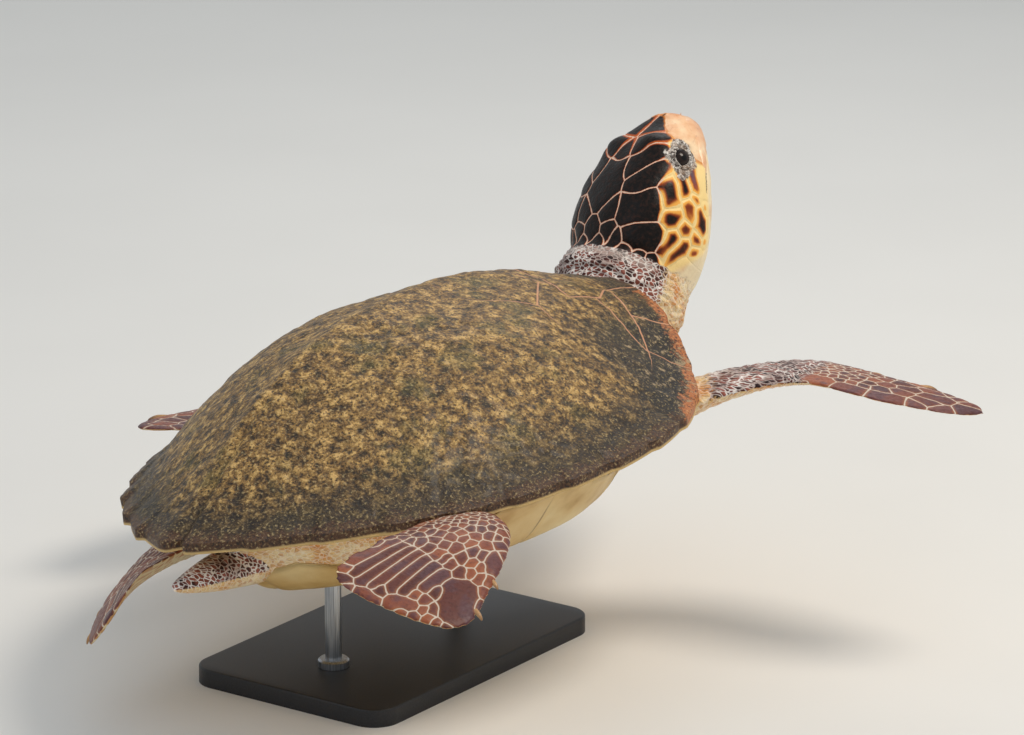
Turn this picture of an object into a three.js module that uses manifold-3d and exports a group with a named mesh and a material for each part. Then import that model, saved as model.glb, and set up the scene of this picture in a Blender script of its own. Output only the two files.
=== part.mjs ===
// A loggerhead turtle, life size, as a still museum model on a plain display stand.
// Millimetres. The part's origin is the middle of the stand's foot, with +X ahead of the turtle, +Y to
// its left and +Z up. The turtle is shaped level in a body frame of its own, whose origin is the middle
// of the shell at the height of its side rims, and is then lifted and pitched nose up on the stand.
import * as THREE from "three";
import { mergeVertices } from "three/addons/utils/BufferGeometryUtils.js";
import Module from "manifold-3d";

const wasm = await Module();
wasm.setup();

// ---------------------------------------------------------------- driving dimensions
const SHELL_LENGTH = 750; // straight length of the carapace, nape notch to tail notch
const SHELL_CROWN = 0.2 * SHELL_LENGTH; // top of the dome above the side rims
const SHELL_BELLY = 0.125 * SHELL_LENGTH; // plastron below the side rims
const PLATE = 13; // thickness of the carapace plates
const RIM = 11; // height of the rim's outer edge
const BELLY_PLATE = 11; // thickness of the plastron
const GAP = 0.4; // air between neighbouring solids

const HEAD_LENGTH = 195; // tip of the beak to the back of the skull
const EYE_RADIUS = 15;

const BODY_PITCH = THREE.MathUtils.degToRad(2.5); // nose up on the stand
const BODY_BANK = THREE.MathUtils.degToRad(-6.5); // right side up on the stand
const BODY_HEIGHT = 240; // body frame's origin above the foot of the stand
const HEAD_PITCH = THREE.MathUtils.degToRad(49); // head's axis above the body's
const HEAD_TURN = THREE.MathUtils.degToRad(-5); // head to the right
const HEAD_BANK = THREE.MathUtils.degToRad(-14); // right side of the head up
const HEAD_AT = [457, 0, 74]; // middle of the back of the head, in the body frame

const BASE_SIZE = [400, 260, 20];
const BASE_CORNER = 30;
const ROD_RADIUS = 9;
const ROD_PLACES = [-110, 120]; // the rods' X on the base

const L = SHELL_LENGTH;
const FAR = 700; // reach of the blocks that cut right through

// ---------------------------------------------------------------- finishes
const finish = (color, roughness, metalness = 0) =>
  new THREE.MeshStandardMaterial({ color, roughness, metalness });
const CARAPACE_HORN = finish(0x6b5630, 0.5);
const RIM_HORN = finish(0x6f4a2c, 0.5);
const PLASTRON_HORN = finish(0xd9bf85, 0.5);
const HEAD_SCALES = finish(0x5a3220, 0.45);
const BEAK_HORN = finish(0xd9a877, 0.4);
const NECK_SKIN = finish(0xa88a76, 0.6);
const FLIPPER_SCALES = finish(0x8a5246, 0.5);
const EYE_BLACK = finish(0x0d0b0a, 0.08);
const CLAW_HORN = finish(0xb78a5a, 0.4);
const STAND_BLACK = finish(0x1c1c1e, 0.35);
const STAND_STEEL = finish(0xb8babd, 0.3, 1);

// ---------------------------------------------------------------- solids
/** Makes a solid of points and triangles, turning the faces out if they point in. */
function closedSolid(positions, triangles) {
  const [a, b, c] = [new THREE.Vector3(), new THREE.Vector3(), new THREE.Vector3()];
  let volume = 0;
  for (let i = 0; i < triangles.length; i += 3) {
    a.fromArray(positions, 3 * triangles[i]);
    b.fromArray(positions, 3 * triangles[i + 1]);
    c.fromArray(positions, 3 * triangles[i + 2]);
    volume += a.dot(b.cross(c));
  }
  const triVerts = new Uint32Array(triangles);
  if (volume < 0) triVerts.reverse();
  const vertProperties = new Float32Array(positions);
  return new wasm.Manifold(new wasm.Mesh({ numProp: 3, vertProperties, triVerts }));
}

/** Makes a solid of a closed three.js geometry. */
function solidOf(geometry) {
  const bare = geometry.clone();
  bare.deleteAttribute("normal");
  bare.deleteAttribute("uv");
  const merged = mergeVertices(bare, 1e-3);
  return closedSolid([...merged.attributes.position.array], [...merged.index.array]);
}

/** Turns a solid back into a three.js geometry. */
function geometryOf(solid) {
  const mesh = solid.getMesh();
  const geometry = new THREE.BufferGeometry();
  geometry.setAttribute("position", new THREE.BufferAttribute(mesh.vertProperties, 3));
  geometry.setIndex(new THREE.BufferAttribute(mesh.triVerts, 1));
  geometry.computeVertexNormals();
  return geometry;
}

/** Gives a solid moved by a matrix. */
function moved(solid, matrix) {
  return solidOf(geometryOf(solid).applyMatrix4(matrix));
}

/** Gives the largest of a solid's bodies, so that a cut leaves no crumbs. */
function largest(solid) {
  const bodies = solid.decompose();
  return bodies.reduce((best, body) => (body.volume() > best.volume() ? body : best));
}

/** Gives a solid without each of the others. */
function without(solid, ...others) {
  return others.reduce((left, other) => left.subtract(other), solid);
}

/** Closes a tube of rings, each with as many points as the next, with a fan at each end. */
function loft(rings) {
  const count = rings[0].length;
  const positions = rings.flat().flatMap((point) => point.toArray());
  const triangles = [];
  for (let i = 0; i + 1 < rings.length; i += 1) {
    for (let j = 0; j < count; j += 1) {
      const [a, b] = [i * count + j, i * count + ((j + 1) % count)];
      triangles.push(a, b, b + count, a, b + count, a + count);
    }
  }
  const addFan = (row, flip) => {
    const centre = new THREE.Vector3();
    for (const point of rings[row]) centre.addScaledVector(point, 1 / count);
    const hub = positions.length / 3;
    positions.push(...centre.toArray());
    for (let j = 0; j < count; j += 1) {
      const [a, b] = [row * count + j, row * count + ((j + 1) % count)];
      triangles.push(hub, flip ? b : a, flip ? a : b);
    }
  };
  addFan(0, true);
  addFan(rings.length - 1, false);
  return closedSolid(positions, triangles);
}

/** A block over a plan outline of [x, y] points, from low to high. */
function prism(points, low = -FAR, high = FAR) {
  const shape = new THREE.Shape(points.map(([x, y]) => new THREE.Vector2(x, y)));
  const geometry = new THREE.ExtrudeGeometry(shape, { depth: high - low, bevelEnabled: false });
  return solidOf(geometry.translate(0, 0, low));
}

/** Moves every side of a plan outline inwards by a distance, or outwards if it is negative. */
function inset(points, distance) {
  const turn = Math.sign(THREE.ShapeUtils.area(points.map(([x, y]) => ({ x, y }))));
  return points.map(([x, y], i) => {
    const [px, py] = points.at(i - 1);
    const [nx, ny] = points[(i + 1) % points.length];
    const before = new THREE.Vector2(py - y, x - px).normalize();
    const after = new THREE.Vector2(y - ny, nx - x).normalize();
    const step = (turn * distance) / Math.max(0.4, 1 + before.dot(after));
    return [x + (before.x + after.x) * step, y + (before.y + after.y) * step];
  });
}

// ---------------------------------------------------------------- numbers
/** Evenly spaced numbers from first to last. */
const span = (first, last, count) =>
  Array.from({ length: count }, (_, i) => first + ((last - first) * i) / Math.max(count - 1, 1));

/** Reads a smooth curve through stops of [place, value] at a place. */
function through(stops, at) {
  const last = stops.length - 1;
  if (at <= stops[0][0]) return stops[0][1];
  if (at >= stops[last][0]) return stops[last][1];
  const i = stops.findIndex(([place]) => place > at) - 1;
  const slope = (k) => {
    const [low, high] = [stops[Math.max(k - 1, 0)], stops[Math.min(k + 1, last)]];
    return (high[1] - low[1]) / (high[0] - low[0]);
  };
  const [[x0, y0], [x1, y1]] = [stops[i], stops[i + 1]];
  const width = x1 - x0;
  const t = (at - x0) / width;
  const rise = y0 * (2 * t ** 3 - 3 * t ** 2 + 1) + y1 * (3 * t ** 2 - 2 * t ** 3);
  const bend = slope(i) * (t ** 3 - 2 * t ** 2 + t) + slope(i + 1) * (t ** 3 - t ** 2);
  return rise + bend * width;
}

const bump = (distance, width) => Math.exp(-((distance / width) ** 2));

// ---------------------------------------------------------------- shell: outline
const DOME_CENTRE = new THREE.Vector2(0.03 * L, 0);
const MARGINALS = 13; // rim scutes on each side behind the nape scute
const NAPE_SHARE = 0.085; // half the nape scute, as a share of half the rim
const SEAM_RING = 0.86; // where the rim scutes meet the others, as a share of the way to the rim

// Half the rim, from the nape notch to the tail notch, in shares of the shell's length.
const HALF_RIM = new THREE.SplineCurve(
  [
    [0.492, 0], [0.495, 0.06], [0.47, 0.145], [0.405, 0.243], [0.3, 0.328], [0.15, 0.373],
    [0, 0.37], [-0.15, 0.334], [-0.28, 0.268], [-0.38, 0.188], [-0.45, 0.108], [-0.484, 0.05],
    [-0.495, 0.02], [-0.484, 0],
  ].map(([x, y]) => new THREE.Vector2(x * L, y * L)),
);
HALF_RIM.arcLengthDivisions = 500;

/** How far a rim scute's edge stands out, rising from its front to its rear corner. */
function serration(share) {
  if (share <= NAPE_SHARE || share >= 1) return 0;
  const along = ((share - NAPE_SHARE) / (1 - NAPE_SHARE)) * MARGINALS;
  return (along % 1) * (0.003 + 0.01 * (along / MARGINALS)) * L;
}

// The mesh has a spoke to each rim scute's corner and one just before the next corner.
const marginalCorners = span(NAPE_SHARE, 1, MARGINALS + 1);
const spokeShares = [
  0,
  0.35 * NAPE_SHARE,
  0.7 * NAPE_SHARE,
  ...marginalCorners.slice(0, -1).flatMap((share) => [share, share + (0.8 * (1 - NAPE_SHARE)) / MARGINALS]),
  1,
];
/** The whole rim, from the nape by the left side to the tail and back by the right, with its teeth. */
function wholeRim(shares, tooth) {
  const half = shares.map((share) => ({ ...HALF_RIM.getPointAt(share), tooth: tooth(share) }));
  return [...half, ...half.slice(1, -1).reverse().map((point) => ({ ...point, y: -point.y }))];
}
const OUTER_RIM = wholeRim(spokeShares, serration);
const INNER_RIM = wholeRim([...span(0, 0.3, 7), ...span(0.4, 1, 7)], () => 0); // of the hidden faces

// ---------------------------------------------------------------- shell: surfaces
// Height of the rim's upper edge along the shell: an arch over the neck, and a slight lift at the tail.
const RIM_HEIGHTS = [
  [-0.5, 0.014], [-0.2, 0], [0.15, 0], [0.3, 0.006], [0.39, 0.033], [0.45, 0.083], [0.495, 0.12],
];
const rimHeight = (x) => through(RIM_HEIGHTS, x / L) * L;

/** Height of the carapace's top at a share r of the way to a point of the rim. */
function topHeight(rimPoint, r) {
  const share = 1 - 1.16 * r ** 2.3 + 0.16 * r ** 9;
  const keel = 0.012 * L * bump(r * rimPoint.y, 0.035 * L) * (1 - r ** 4);
  return rimHeight(rimPoint.x) * (1 - share) + SHELL_CROWN * share + keel;
}

/** Height of the underside, from the rim in across the bridge to the flat plastron. */
function bottomHeight(rimPoint, r) {
  const low = THREE.MathUtils.smoothstep(1 - r, 0.06, 0.42);
  return (rimHeight(rimPoint.x) - RIM) * (1 - low) - SHELL_BELLY * low;
}

/**
 * A closed body over a rim of plan points, between two sheets. Each sheet has a height as a function of rim
 * point and of the share r of the way to it, and the shares at which it has rings. The edge stands out by a
 * distance, as one more ring at the rim's height.
 */
function discBody(rim, edge, ...sheets) {
  const positions = [];
  const triangles = [];
  const edges = sheets.map(({ height, rings }) => {
    const hub = positions.length / 3;
    positions.push(DOME_CENTRE.x, DOME_CENTRE.y, height(rim[0], 0));
    const rows = [...rings.map((r) => [r, 0]), ...(edge > 0 ? [[1, edge]] : [])];
    for (const [r, out] of rows) {
      for (const point of rim) {
        const reach = out + (r === 1 ? point.tooth : 0);
        const plan = DOME_CENTRE.clone().lerp(point, r + reach / DOME_CENTRE.distanceTo(point));
        positions.push(plan.x, plan.y, height(point, r));
      }
    }
    return { hub, start: hub + 1, end: hub + 1 + (rows.length - 1) * rim.length };
  });
  edges.forEach(({ hub, start, end }, sheet) => {
    const face = (a, b, c) => triangles.push(a, ...(sheet === 0 ? [b, c] : [c, b]));
    for (let j = 0; j < rim.length; j += 1) {
      const next = (j + 1) % rim.length;
      face(hub, start + j, start + next);
      for (let row = start; row < end; row += rim.length) {
        face(row + j, row + rim.length + j, row + rim.length + next);
        face(row + j, row + rim.length + next, row + next);
      }
    }
  });
  const [upper, lower] = edges.map(({ end }) => end);
  for (let j = 0; j < rim.length; j += 1) {
    const next = (j + 1) % rim.length;
    triangles.push(upper + j, lower + j, lower + next, upper + j, lower + next, upper + next);
  }
  return closedSolid(positions, triangles);
}

const TOP_RINGS = [0.32, 0.57, 0.78, 0.92, 1];
const BOTTOM_RINGS = [0.58, 0.8, 1]; // the plastron is flat as far as the first
const INNER_TOP_RINGS = [0.35, 0.6, 0.8, 1];
const INNER_EDGE = 60; // how far the cutting blocks reach past the rim
const floorSheet = { height: () => -FAR, rings: [1] };

/** The whole shell with all in it, grown by a distance. */
const shellBody = (grow = 0) =>
  discBody(
    OUTER_RIM,
    grow,
    { height: (point, r) => topHeight(point, r) + grow, rings: TOP_RINGS },
    { height: (point, r) => bottomHeight(point, r) - grow, rings: BOTTOM_RINGS },
  );

/** All that lies more than a depth below the carapace's top. */
const belowTop = (depth) =>
  discBody(
    INNER_RIM,
    INNER_EDGE,
    { height: (point, r) => topHeight(point, r) - depth, rings: INNER_TOP_RINGS },
    floorSheet,
  );

/** All that lies below the underside raised by a height. */
const belowUnderside = (rise) =>
  discBody(
    INNER_RIM,
    INNER_EDGE,
    { height: (point, r) => bottomHeight(point, r) + rise, rings: BOTTOM_RINGS },
    floorSheet,
  );

// ---------------------------------------------------------------- shell: scutes
/** Points over a span of half the rim, on one side, at a share of the way from the dome's centre. */
function ringSpan(from, to, count, reach, side = 1) {
  return span(from, to, count).map((share) => {
    const { x, y } = DOME_CENTRE.clone().lerp(HALF_RIM.getPointAt(share), reach);
    return [x, side * y];
  });
}
const inShell = (x, y) => [x * L, y * L];
const otherSide = (points) => points.map(([x, y]) => [x, -y]);

// Vertebral scutes: the seams across the keel and the corners at their sides, from the nape to the tail.
const KEEL_SEAMS = [[0.3, 0.07], [0.125, 0.072], [-0.065, 0.068], [-0.245, 0.055]];
const KEEL_CORNERS = [[0.365, 0.105], [0.215, 0.128], [0.03, 0.132], [-0.155, 0.118], [-0.32, 0.085]];
const FIRST_SHARE = 0.05; // half the first vertebral scute's front, as a share of half the rim
const COSTAL_ENDS = [0.27, 0.42, 0.575, 0.735, 0.9]; // where the costal seams reach the ring
const PAST_RING = 0.93; // reach of the outlines below, whose blocks the ring then cuts

function vertebralOutline(i) {
  const front = i === 0 ? ringSpan(0, FIRST_SHARE, 3, PAST_RING) : [inShell(...KEEL_SEAMS[i - 1])];
  const last = KEEL_CORNERS.length - 1;
  const rear = i === last ? ringSpan(COSTAL_ENDS[last], 1, 4, PAST_RING) : [inShell(...KEEL_SEAMS[i])];
  const left = [...front, inShell(...KEEL_CORNERS[i]), ...rear];
  return [...left, ...otherSide(left).filter(([, y]) => Math.abs(y) > 1e-6).reverse()];
}

function costalOutline(i) {
  const ring = ringSpan(i === 0 ? FIRST_SHARE : COSTAL_ENDS[i - 1], COSTAL_ENDS[i], 5, PAST_RING);
  const keel = [inShell(...KEEL_CORNERS[i])];
  if (i > 0) keel.push(inShell(...KEEL_SEAMS[i - 1]), inShell(...KEEL_CORNERS[i - 1]));
  return [...ring, ...keel];
}

const shellWhole = shellBody();
const horn = shellWhole.subtract(belowTop(PLATE));
const core = shellWhole.intersect(belowTop(PLATE + GAP));
const halfRing = spokeShares.map((share) => ringSpan(share, share, 1, SEAM_RING)[0]);
const ringOutline = [...halfRing, ...otherSide(halfRing).slice(1, -1).reverse()];
const rimHorn = horn.subtract(prism(inset(ringOutline, -GAP / 2)));
const domeHorn = horn.intersect(prism(inset(ringOutline, GAP / 2)));
const napeFan = (share) => [inShell(0.1, 0), inShell(...napeEdge(share, 1)), inShell(...napeEdge(share, -1))];

/** A far point beyond the rim, on the line from the dome's centre through the nape scute's corner. */
function napeEdge(share, side) {
  const corner = HALF_RIM.getPointAt(share).sub(DOME_CENTRE).setLength(0.8);
  return [DOME_CENTRE.x / L + corner.x, side * corner.y];
}
const scute = (outline) => largest(domeHorn.intersect(prism(inset(outline, GAP / 2))));
const halfPlane = (side) => prism([[-L, side * GAP], [L, side * GAP], [L, side * L], [-L, side * L]]);
const marginals = (side) =>
  largest(rimHorn.intersect(halfPlane(side)).subtract(prism(inset(napeFan(NAPE_SHARE), -GAP))));

// ---------------------------------------------------------------- plastron and trunk
// Half the plastron, front to rear: its front lobe, the bridge out towards the rim and its rear lobe.
const PLASTRON_HALF = [
  [0.34, 0], [0.335, 0.075], [0.29, 0.15], [0.2, 0.2], [0.15, 0.29], [0.02, 0.315], [-0.12, 0.28],
  [-0.19, 0.19], [-0.27, 0.135], [-0.34, 0.075], [-0.36, 0],
].map(([x, y]) => inShell(x, y));
const plastronOutline = [...PLASTRON_HALF, ...otherSide(PLASTRON_HALF).slice(1, -1).reverse()];
const plastron = core.intersect(belowUnderside(BELLY_PLATE)).intersect(prism(plastronOutline));
const plastronRoom = belowUnderside(BELLY_PLATE + GAP).intersect(prism(inset(plastronOutline, -GAP)));
const trunk = core.subtract(plastronRoom);

// ---------------------------------------------------------------- head
const HEAD_POINTS = 18;
const HEAD_FRAME = new THREE.Matrix4()
  .makeRotationFromEuler(new THREE.Euler(HEAD_BANK, -HEAD_PITCH, HEAD_TURN, "ZYX"))
  .setPosition(...HEAD_AT);

// The head along its axis from the beak's tip (0) to the nape (1), in shares of its length.
const HEAD_HALF_WIDTH = [
  [0, 0.08], [0.03, 0.145], [0.08, 0.195], [0.16, 0.256], [0.27, 0.322], [0.4, 0.378], [0.55, 0.41],
  [0.7, 0.42], [0.85, 0.405], [1, 0.36],
];
const HEAD_TOP = [
  [0, 0.075], [0.03, 0.128], [0.08, 0.162], [0.16, 0.2], [0.27, 0.252], [0.4, 0.298], [0.55, 0.327],
  [0.7, 0.335], [0.85, 0.322], [1, 0.28],
];
const HEAD_BOTTOM = [
  [0, -0.1], [0.03, -0.125], [0.08, -0.15], [0.16, -0.175], [0.27, -0.208], [0.4, -0.252], [0.55, -0.318],
  [0.7, -0.383], [0.85, -0.42], [1, -0.43],
];
const NAPE = 0.93; // where the neck takes over
const HEAD_RINGS = [0, 0.03, 0.08, 0.15, 0.22, 0.29, 0.36, 0.48, 0.62, 0.78, NAPE];
const EYE_ALONG = 0.355;
const EYE_UP = 0.105;
const EYE_PROUD = 3; // how far the eye stands out of the side of the head
const BROW_ALONG = 0.27;
const BROW_RISE = 24;

/** A point of the head's side at a share along it and an angle round it, grown by a distance. */
function headPoint(along, angle, grow = 0) {
  const [c, s] = [Math.cos(angle), Math.sin(angle)];
  const power = 2 / through([[0, 2], [0.2, 2.5], [0.5, 2.7], [1, 2.2]], along);
  const halfWidth = through(HEAD_HALF_WIDTH, along) * HEAD_LENGTH + grow;
  const reach = through(s > 0 ? HEAD_TOP : HEAD_BOTTOM, along) * HEAD_LENGTH + Math.sign(s) * grow;
  const brow = BROW_RISE * bump(along - BROW_ALONG, 0.085) * bump(angle % Math.PI - Math.PI / 2, 0.9);
  const side = Math.sign(c) * Math.abs(c) ** power * halfWidth;
  const up = Math.abs(s) ** power * reach + (s > 0 ? brow * Math.abs(c) : 0);
  return new THREE.Vector3((1 - along) * HEAD_LENGTH, side, up);
}

/** A ring of the head in the body frame. */
function headRing(along, grow = 0, back = 0) {
  return span(0, 2 * Math.PI, HEAD_POINTS + 1)
    .slice(0, -1)
    .map((angle) => headPoint(along, angle, grow).setX((1 - along) * HEAD_LENGTH - back))
    .map((point) => point.applyMatrix4(HEAD_FRAME));
}
const headWhole = loft(HEAD_RINGS.map((along) => headRing(along)));

/** A block across the head over a side view outline of [share from the tip, share up] points. */
function headBlock(points) {
  const outline = points.map(([along, up]) => [(1 - along) * HEAD_LENGTH, up * HEAD_LENGTH]);
  return (gap) => {
    const block = geometryOf(prism(inset(outline, -gap), -HEAD_LENGTH, HEAD_LENGTH));
    return solidOf(block.rotateX(Math.PI / 2).applyMatrix4(HEAD_FRAME));
  };
}
// The line of the closed mouth, from the beak's hooked tip to the corner behind the eye.
const MOUTH = [[-0.05, -0.08], [0.02, -0.08], [0.06, -0.058], [0.18, -0.06], [0.36, -0.088], [0.5, -0.125]];
const jawBlock = headBlock([...MOUTH, [0.52, -0.2], [0.44, -0.5], [-0.05, -0.5]]);
const upperBeakBlock = headBlock([
  ...MOUTH.slice(0, 5),
  ...[[0.3, -0.03], [0.14, 0.03], [0.05, 0.085], [-0.05, 0.09]],
]);
const lowerBeakBlock = headBlock([...MOUTH.slice(0, 4), [0.16, -0.11], [0.08, -0.3], [-0.05, -0.3]]);

/** The eye, a ball low under the brow, grown by a distance. */
function eye(side, grow = 0) {
  const angle = Math.asin((EYE_UP / through(HEAD_TOP, EYE_ALONG)) ** 1.25);
  const face = headPoint(EYE_ALONG, angle);
  const ball = new THREE.SphereGeometry(EYE_RADIUS + grow, 12, 8);
  ball.translate(face.x, side * (face.y + EYE_PROUD - EYE_RADIUS), EYE_UP * HEAD_LENGTH);
  return solidOf(ball.applyMatrix4(HEAD_FRAME));
}
const head = without(headWhole, jawBlock(GAP), upperBeakBlock(GAP), eye(1, GAP), eye(-1, GAP));
const jawWhole = headWhole.intersect(jawBlock(0));
const lowerJaw = jawWhole.subtract(lowerBeakBlock(GAP));
const lowerBeak = jawWhole.intersect(lowerBeakBlock(0));
const upperBeak = headWhole.intersect(upperBeakBlock(0)).subtract(jawBlock(GAP));

// ---------------------------------------------------------------- neck
// The neck from inside the shell to the head: middle [x, z], half width, half height, lean of its ring.
const NECK_STOPS = [
  { at: [262, -40], wide: 122, tall: 52, lean: 4 },
  { at: [316, -30], wide: 114, tall: 66, lean: 12 },
  { at: [366, -12], wide: 96, tall: 80, lean: 24 },
  { at: [408, 16], wide: 80, tall: 82, lean: 34 },
  { at: [443, 46], wide: 72, tall: 80, lean: 42 },
];
const NECK_FOLD = 3.5; // depth of the folds of skin round the neck

function neckBody(grow = 0) {
  const stop = (key, read) => NECK_STOPS.map((row, i) => [i, read(row[key])]);
  const rings = span(0, NECK_STOPS.length - 1, 8).map((i) => {
    const lean = THREE.MathUtils.degToRad(through(stop("lean", (v) => v), i));
    const fold = NECK_FOLD * Math.cos(2 * Math.PI * i) * Math.min(1, i / 2) + grow;
    const wide = through(stop("wide", (v) => v), i) + fold;
    const tall = through(stop("tall", (v) => v), i) + fold;
    const x = through(stop("at", (v) => v[0]), i);
    const z = through(stop("at", (v) => v[1]), i);
    return span(0, 2 * Math.PI, HEAD_POINTS + 1).slice(0, -1).map((angle) => {
      const [side, up] = [wide * Math.cos(angle), tall * Math.sin(angle)];
      return new THREE.Vector3(x - up * Math.sin(lean), side, z + up * Math.cos(lean));
    });
  });
  return loft([...rings, headRing(NAPE, grow - 3, GAP)]);
}
const neck = largest(without(neckBody(), shellBody(GAP)));

// ---------------------------------------------------------------- limbs
const FLIPPER_RINGS = 12;
const FLIPPER_POINTS = 10;

/** Where a flipper's path is at t: its place, its way, the way its front edge faces and its upper side. */
function flipperPlace({ path, lead }, side, t) {
  const curve = new THREE.CatmullRomCurve3(path.map(([x, y, z]) => new THREE.Vector3(x, side * y, z)));
  const tangent = curve.getTangentAt(t);
  const [lx, ly, lz] = [0, 1, 2].map((k) => through(lead.map(([at, way]) => [at, way[k]]), t));
  const front = new THREE.Vector3(lx, side * ly, lz);
  front.addScaledVector(tangent, -front.dot(tangent)).normalize();
  const up = tangent.clone().cross(front).multiplyScalar(-side).normalize();
  return { place: curve.getPointAt(t), tangent, front, up };
}

/**
 * A flipper along a path: fore and aft give its edges either side of the path, thick its thickness and
 * lead the way its front edge faces, each as stops along the path. It is thickest near its front edge.
 */
function flipperBody(shape, side, grow = 0) {
  const { fore, aft, thick } = shape;
  return loft(
    span(0, 1, FLIPPER_RINGS).map((t) => {
      const { place, front, up } = flipperPlace(shape, side, t);
      const half = (through(fore, t) + through(aft, t)) / 2 + grow;
      const middle = (through(fore, t) - through(aft, t)) / 2;
      const depth = through(thick, t) / 2 + grow;
      return span(0, 2 * Math.PI, FLIPPER_POINTS + 1).slice(0, -1).map((angle) => {
        const c = Math.cos(angle);
        const rise = Math.sin(angle) * depth * (0.74 + 0.26 * c);
        return place.clone().addScaledVector(front, middle + half * c).addScaledVector(up, rise);
      });
    }),
  );
}

const FRONT_RIGHT = {
  path: [[205, 110, -40], [250, 180, -22], [296, 244, -2], [342, 312, 3], [354, 425, -14], [370, 522, -36]],
  lead: [[0, [0.8, -0.6, 0]], [0.5, [0.8, -0.6, -0.1]], [1, [0.9, -0.4, 0]]],
  fore: [[0, 44], [0.2, 44], [0.4, 48], [0.6, 55], [0.8, 44], [0.93, 26], [1, 10]],
  aft: [[0, 50], [0.2, 46], [0.4, 46], [0.6, 62], [0.8, 56], [0.93, 36], [1, 14]],
  thick: [[0, 70], [0.25, 48], [0.45, 32], [0.65, 22], [0.85, 14], [1, 7]],
  claws: [0.66, 0.82],
};
const FRONT_LEFT = {
  ...FRONT_RIGHT,
  path: [
    [205, 110, -40], [248, 185, -40], [270, 260, -48], [235, 328, -52], [165, 366, -44], [90, 378, -28],
    [20, 372, -12],
  ],
  lead: [[0, [0.8, -0.6, 0]], [0.35, [0.9, 0.1, 0.1]], [0.6, [0.35, 0.9, 0.1]], [1, [0, 1, 0]]],
};
const HIND_RIGHT = {
  path: [
    [-110, 110, -45], [-150, 178, -28], [-204, 234, -10], [-260, 264, -8], [-322, 280, -18], [-392, 296, -36],
  ],
  lead: [[0, [0.6, 0.2, 0]], [0.5, [0.7, 0.7, -0.2]], [1, [0.42, 0.75, -0.36]]],
  fore: [[0, 42], [0.3, 48], [0.5, 58], [0.75, 66], [0.91, 67], [1, 46]],
  aft: [[0, 42], [0.3, 40], [0.5, 48], [0.75, 66], [0.91, 82], [1, 68]],
  thick: [[0, 60], [0.35, 42], [0.6, 22], [0.85, 12], [1, 8]],
  claws: [0.72, 0.87],
};
const HIND_LEFT = {
  ...HIND_RIGHT,
  path: [
    [-110, 105, -50], [-158, 138, -58], [-208, 153, -66], [-262, 152, -74], [-315, 140, -82],
    [-362, 122, -92],
  ],
  lead: [[0, [0.2, 0.9, 0]], [0.5, [0.1, 0.9, -0.4]], [1, [0.1, 0.7, -0.7]]],
  fore: [[0, 40], [0.3, 40], [0.5, 46], [0.75, 52], [0.91, 52], [1, 34]],
  aft: [[0, 40], [0.3, 36], [0.5, 40], [0.75, 52], [0.91, 60], [1, 48]],
};

const neckRoom = neckBody(GAP);
const flipper = (shape, side) => largest(without(flipperBody(shape, side), shellBody(GAP), neckRoom));

const CLAW_LENGTH = 16; // out of the flipper's edge
const CLAW_RADIUS = 5.5;
const CLAW_ROOT = 12; // inside the edge

/** A claw on a flipper's front edge, leaning to the flipper's tip. */
function claw(shape, side, t) {
  const { place, tangent, front } = flipperPlace(shape, side, t);
  const way = front.clone().multiplyScalar(0.8).addScaledVector(tangent, 0.6);
  const cone = new THREE.ConeGeometry(CLAW_RADIUS, CLAW_LENGTH + CLAW_ROOT, 7);
  const turn = new THREE.Quaternion().setFromUnitVectors(new THREE.Vector3(0, 1, 0), way.normalize());
  const middle = place.addScaledVector(front, through(shape.fore, t));
  middle.addScaledVector(way, (CLAW_LENGTH - CLAW_ROOT) / 2);
  const solid = solidOf(cone.applyQuaternion(turn).translate(...middle.toArray()));
  return largest(without(solid, flipperBody(shape, side, GAP)));
}

// ---------------------------------------------------------------- tail
function tailBody() {
  const rings = span(0, 1, 5).map((t) => {
    const radius = through([[0, 32], [0.5, 23], [0.85, 12], [1, 5]], t);
    return span(0, 2 * Math.PI, 11).slice(0, -1).map((angle) => {
      const [side, up] = [radius * Math.cos(angle), 0.8 * radius * Math.sin(angle)];
      return new THREE.Vector3(THREE.MathUtils.lerp(-260, -388, t), side, -46 + 10 * t + up);
    });
  });
  return loft(rings);
}
const tail = largest(without(tailBody(), shellBody(GAP)));

// ---------------------------------------------------------------- the turtle and its stand
/** A mesh of a solid, named and finished. */
function part(name, solid, material) {
  const mesh = new THREE.Mesh(geometryOf(solid), material);
  mesh.name = name;
  return mesh;
}

const body = new THREE.Group();
body.position.set(0, 0, BODY_HEIGHT);
body.rotation.set(BODY_BANK, -BODY_PITCH, 0, "YXZ");
body.updateMatrix();

body.add(part("trunk", trunk, NECK_SKIN), part("plastron", plastron, PLASTRON_HORN));
body.add(part("scute_nuchal", largest(rimHorn.intersect(prism(napeFan(NAPE_SHARE)))), CARAPACE_HORN));
for (let i = 0; i < KEEL_CORNERS.length; i += 1) {
  body.add(part(`scute_vertebral_${i + 1}`, scute(vertebralOutline(i)), CARAPACE_HORN));
  body.add(part(`scute_costal_left_${i + 1}`, scute(costalOutline(i)), CARAPACE_HORN));
  body.add(part(`scute_costal_right_${i + 1}`, scute(otherSide(costalOutline(i))), CARAPACE_HORN));
}
body.add(part("scutes_marginal_left", marginals(1), RIM_HORN));
body.add(part("scutes_marginal_right", marginals(-1), RIM_HORN));

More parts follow.
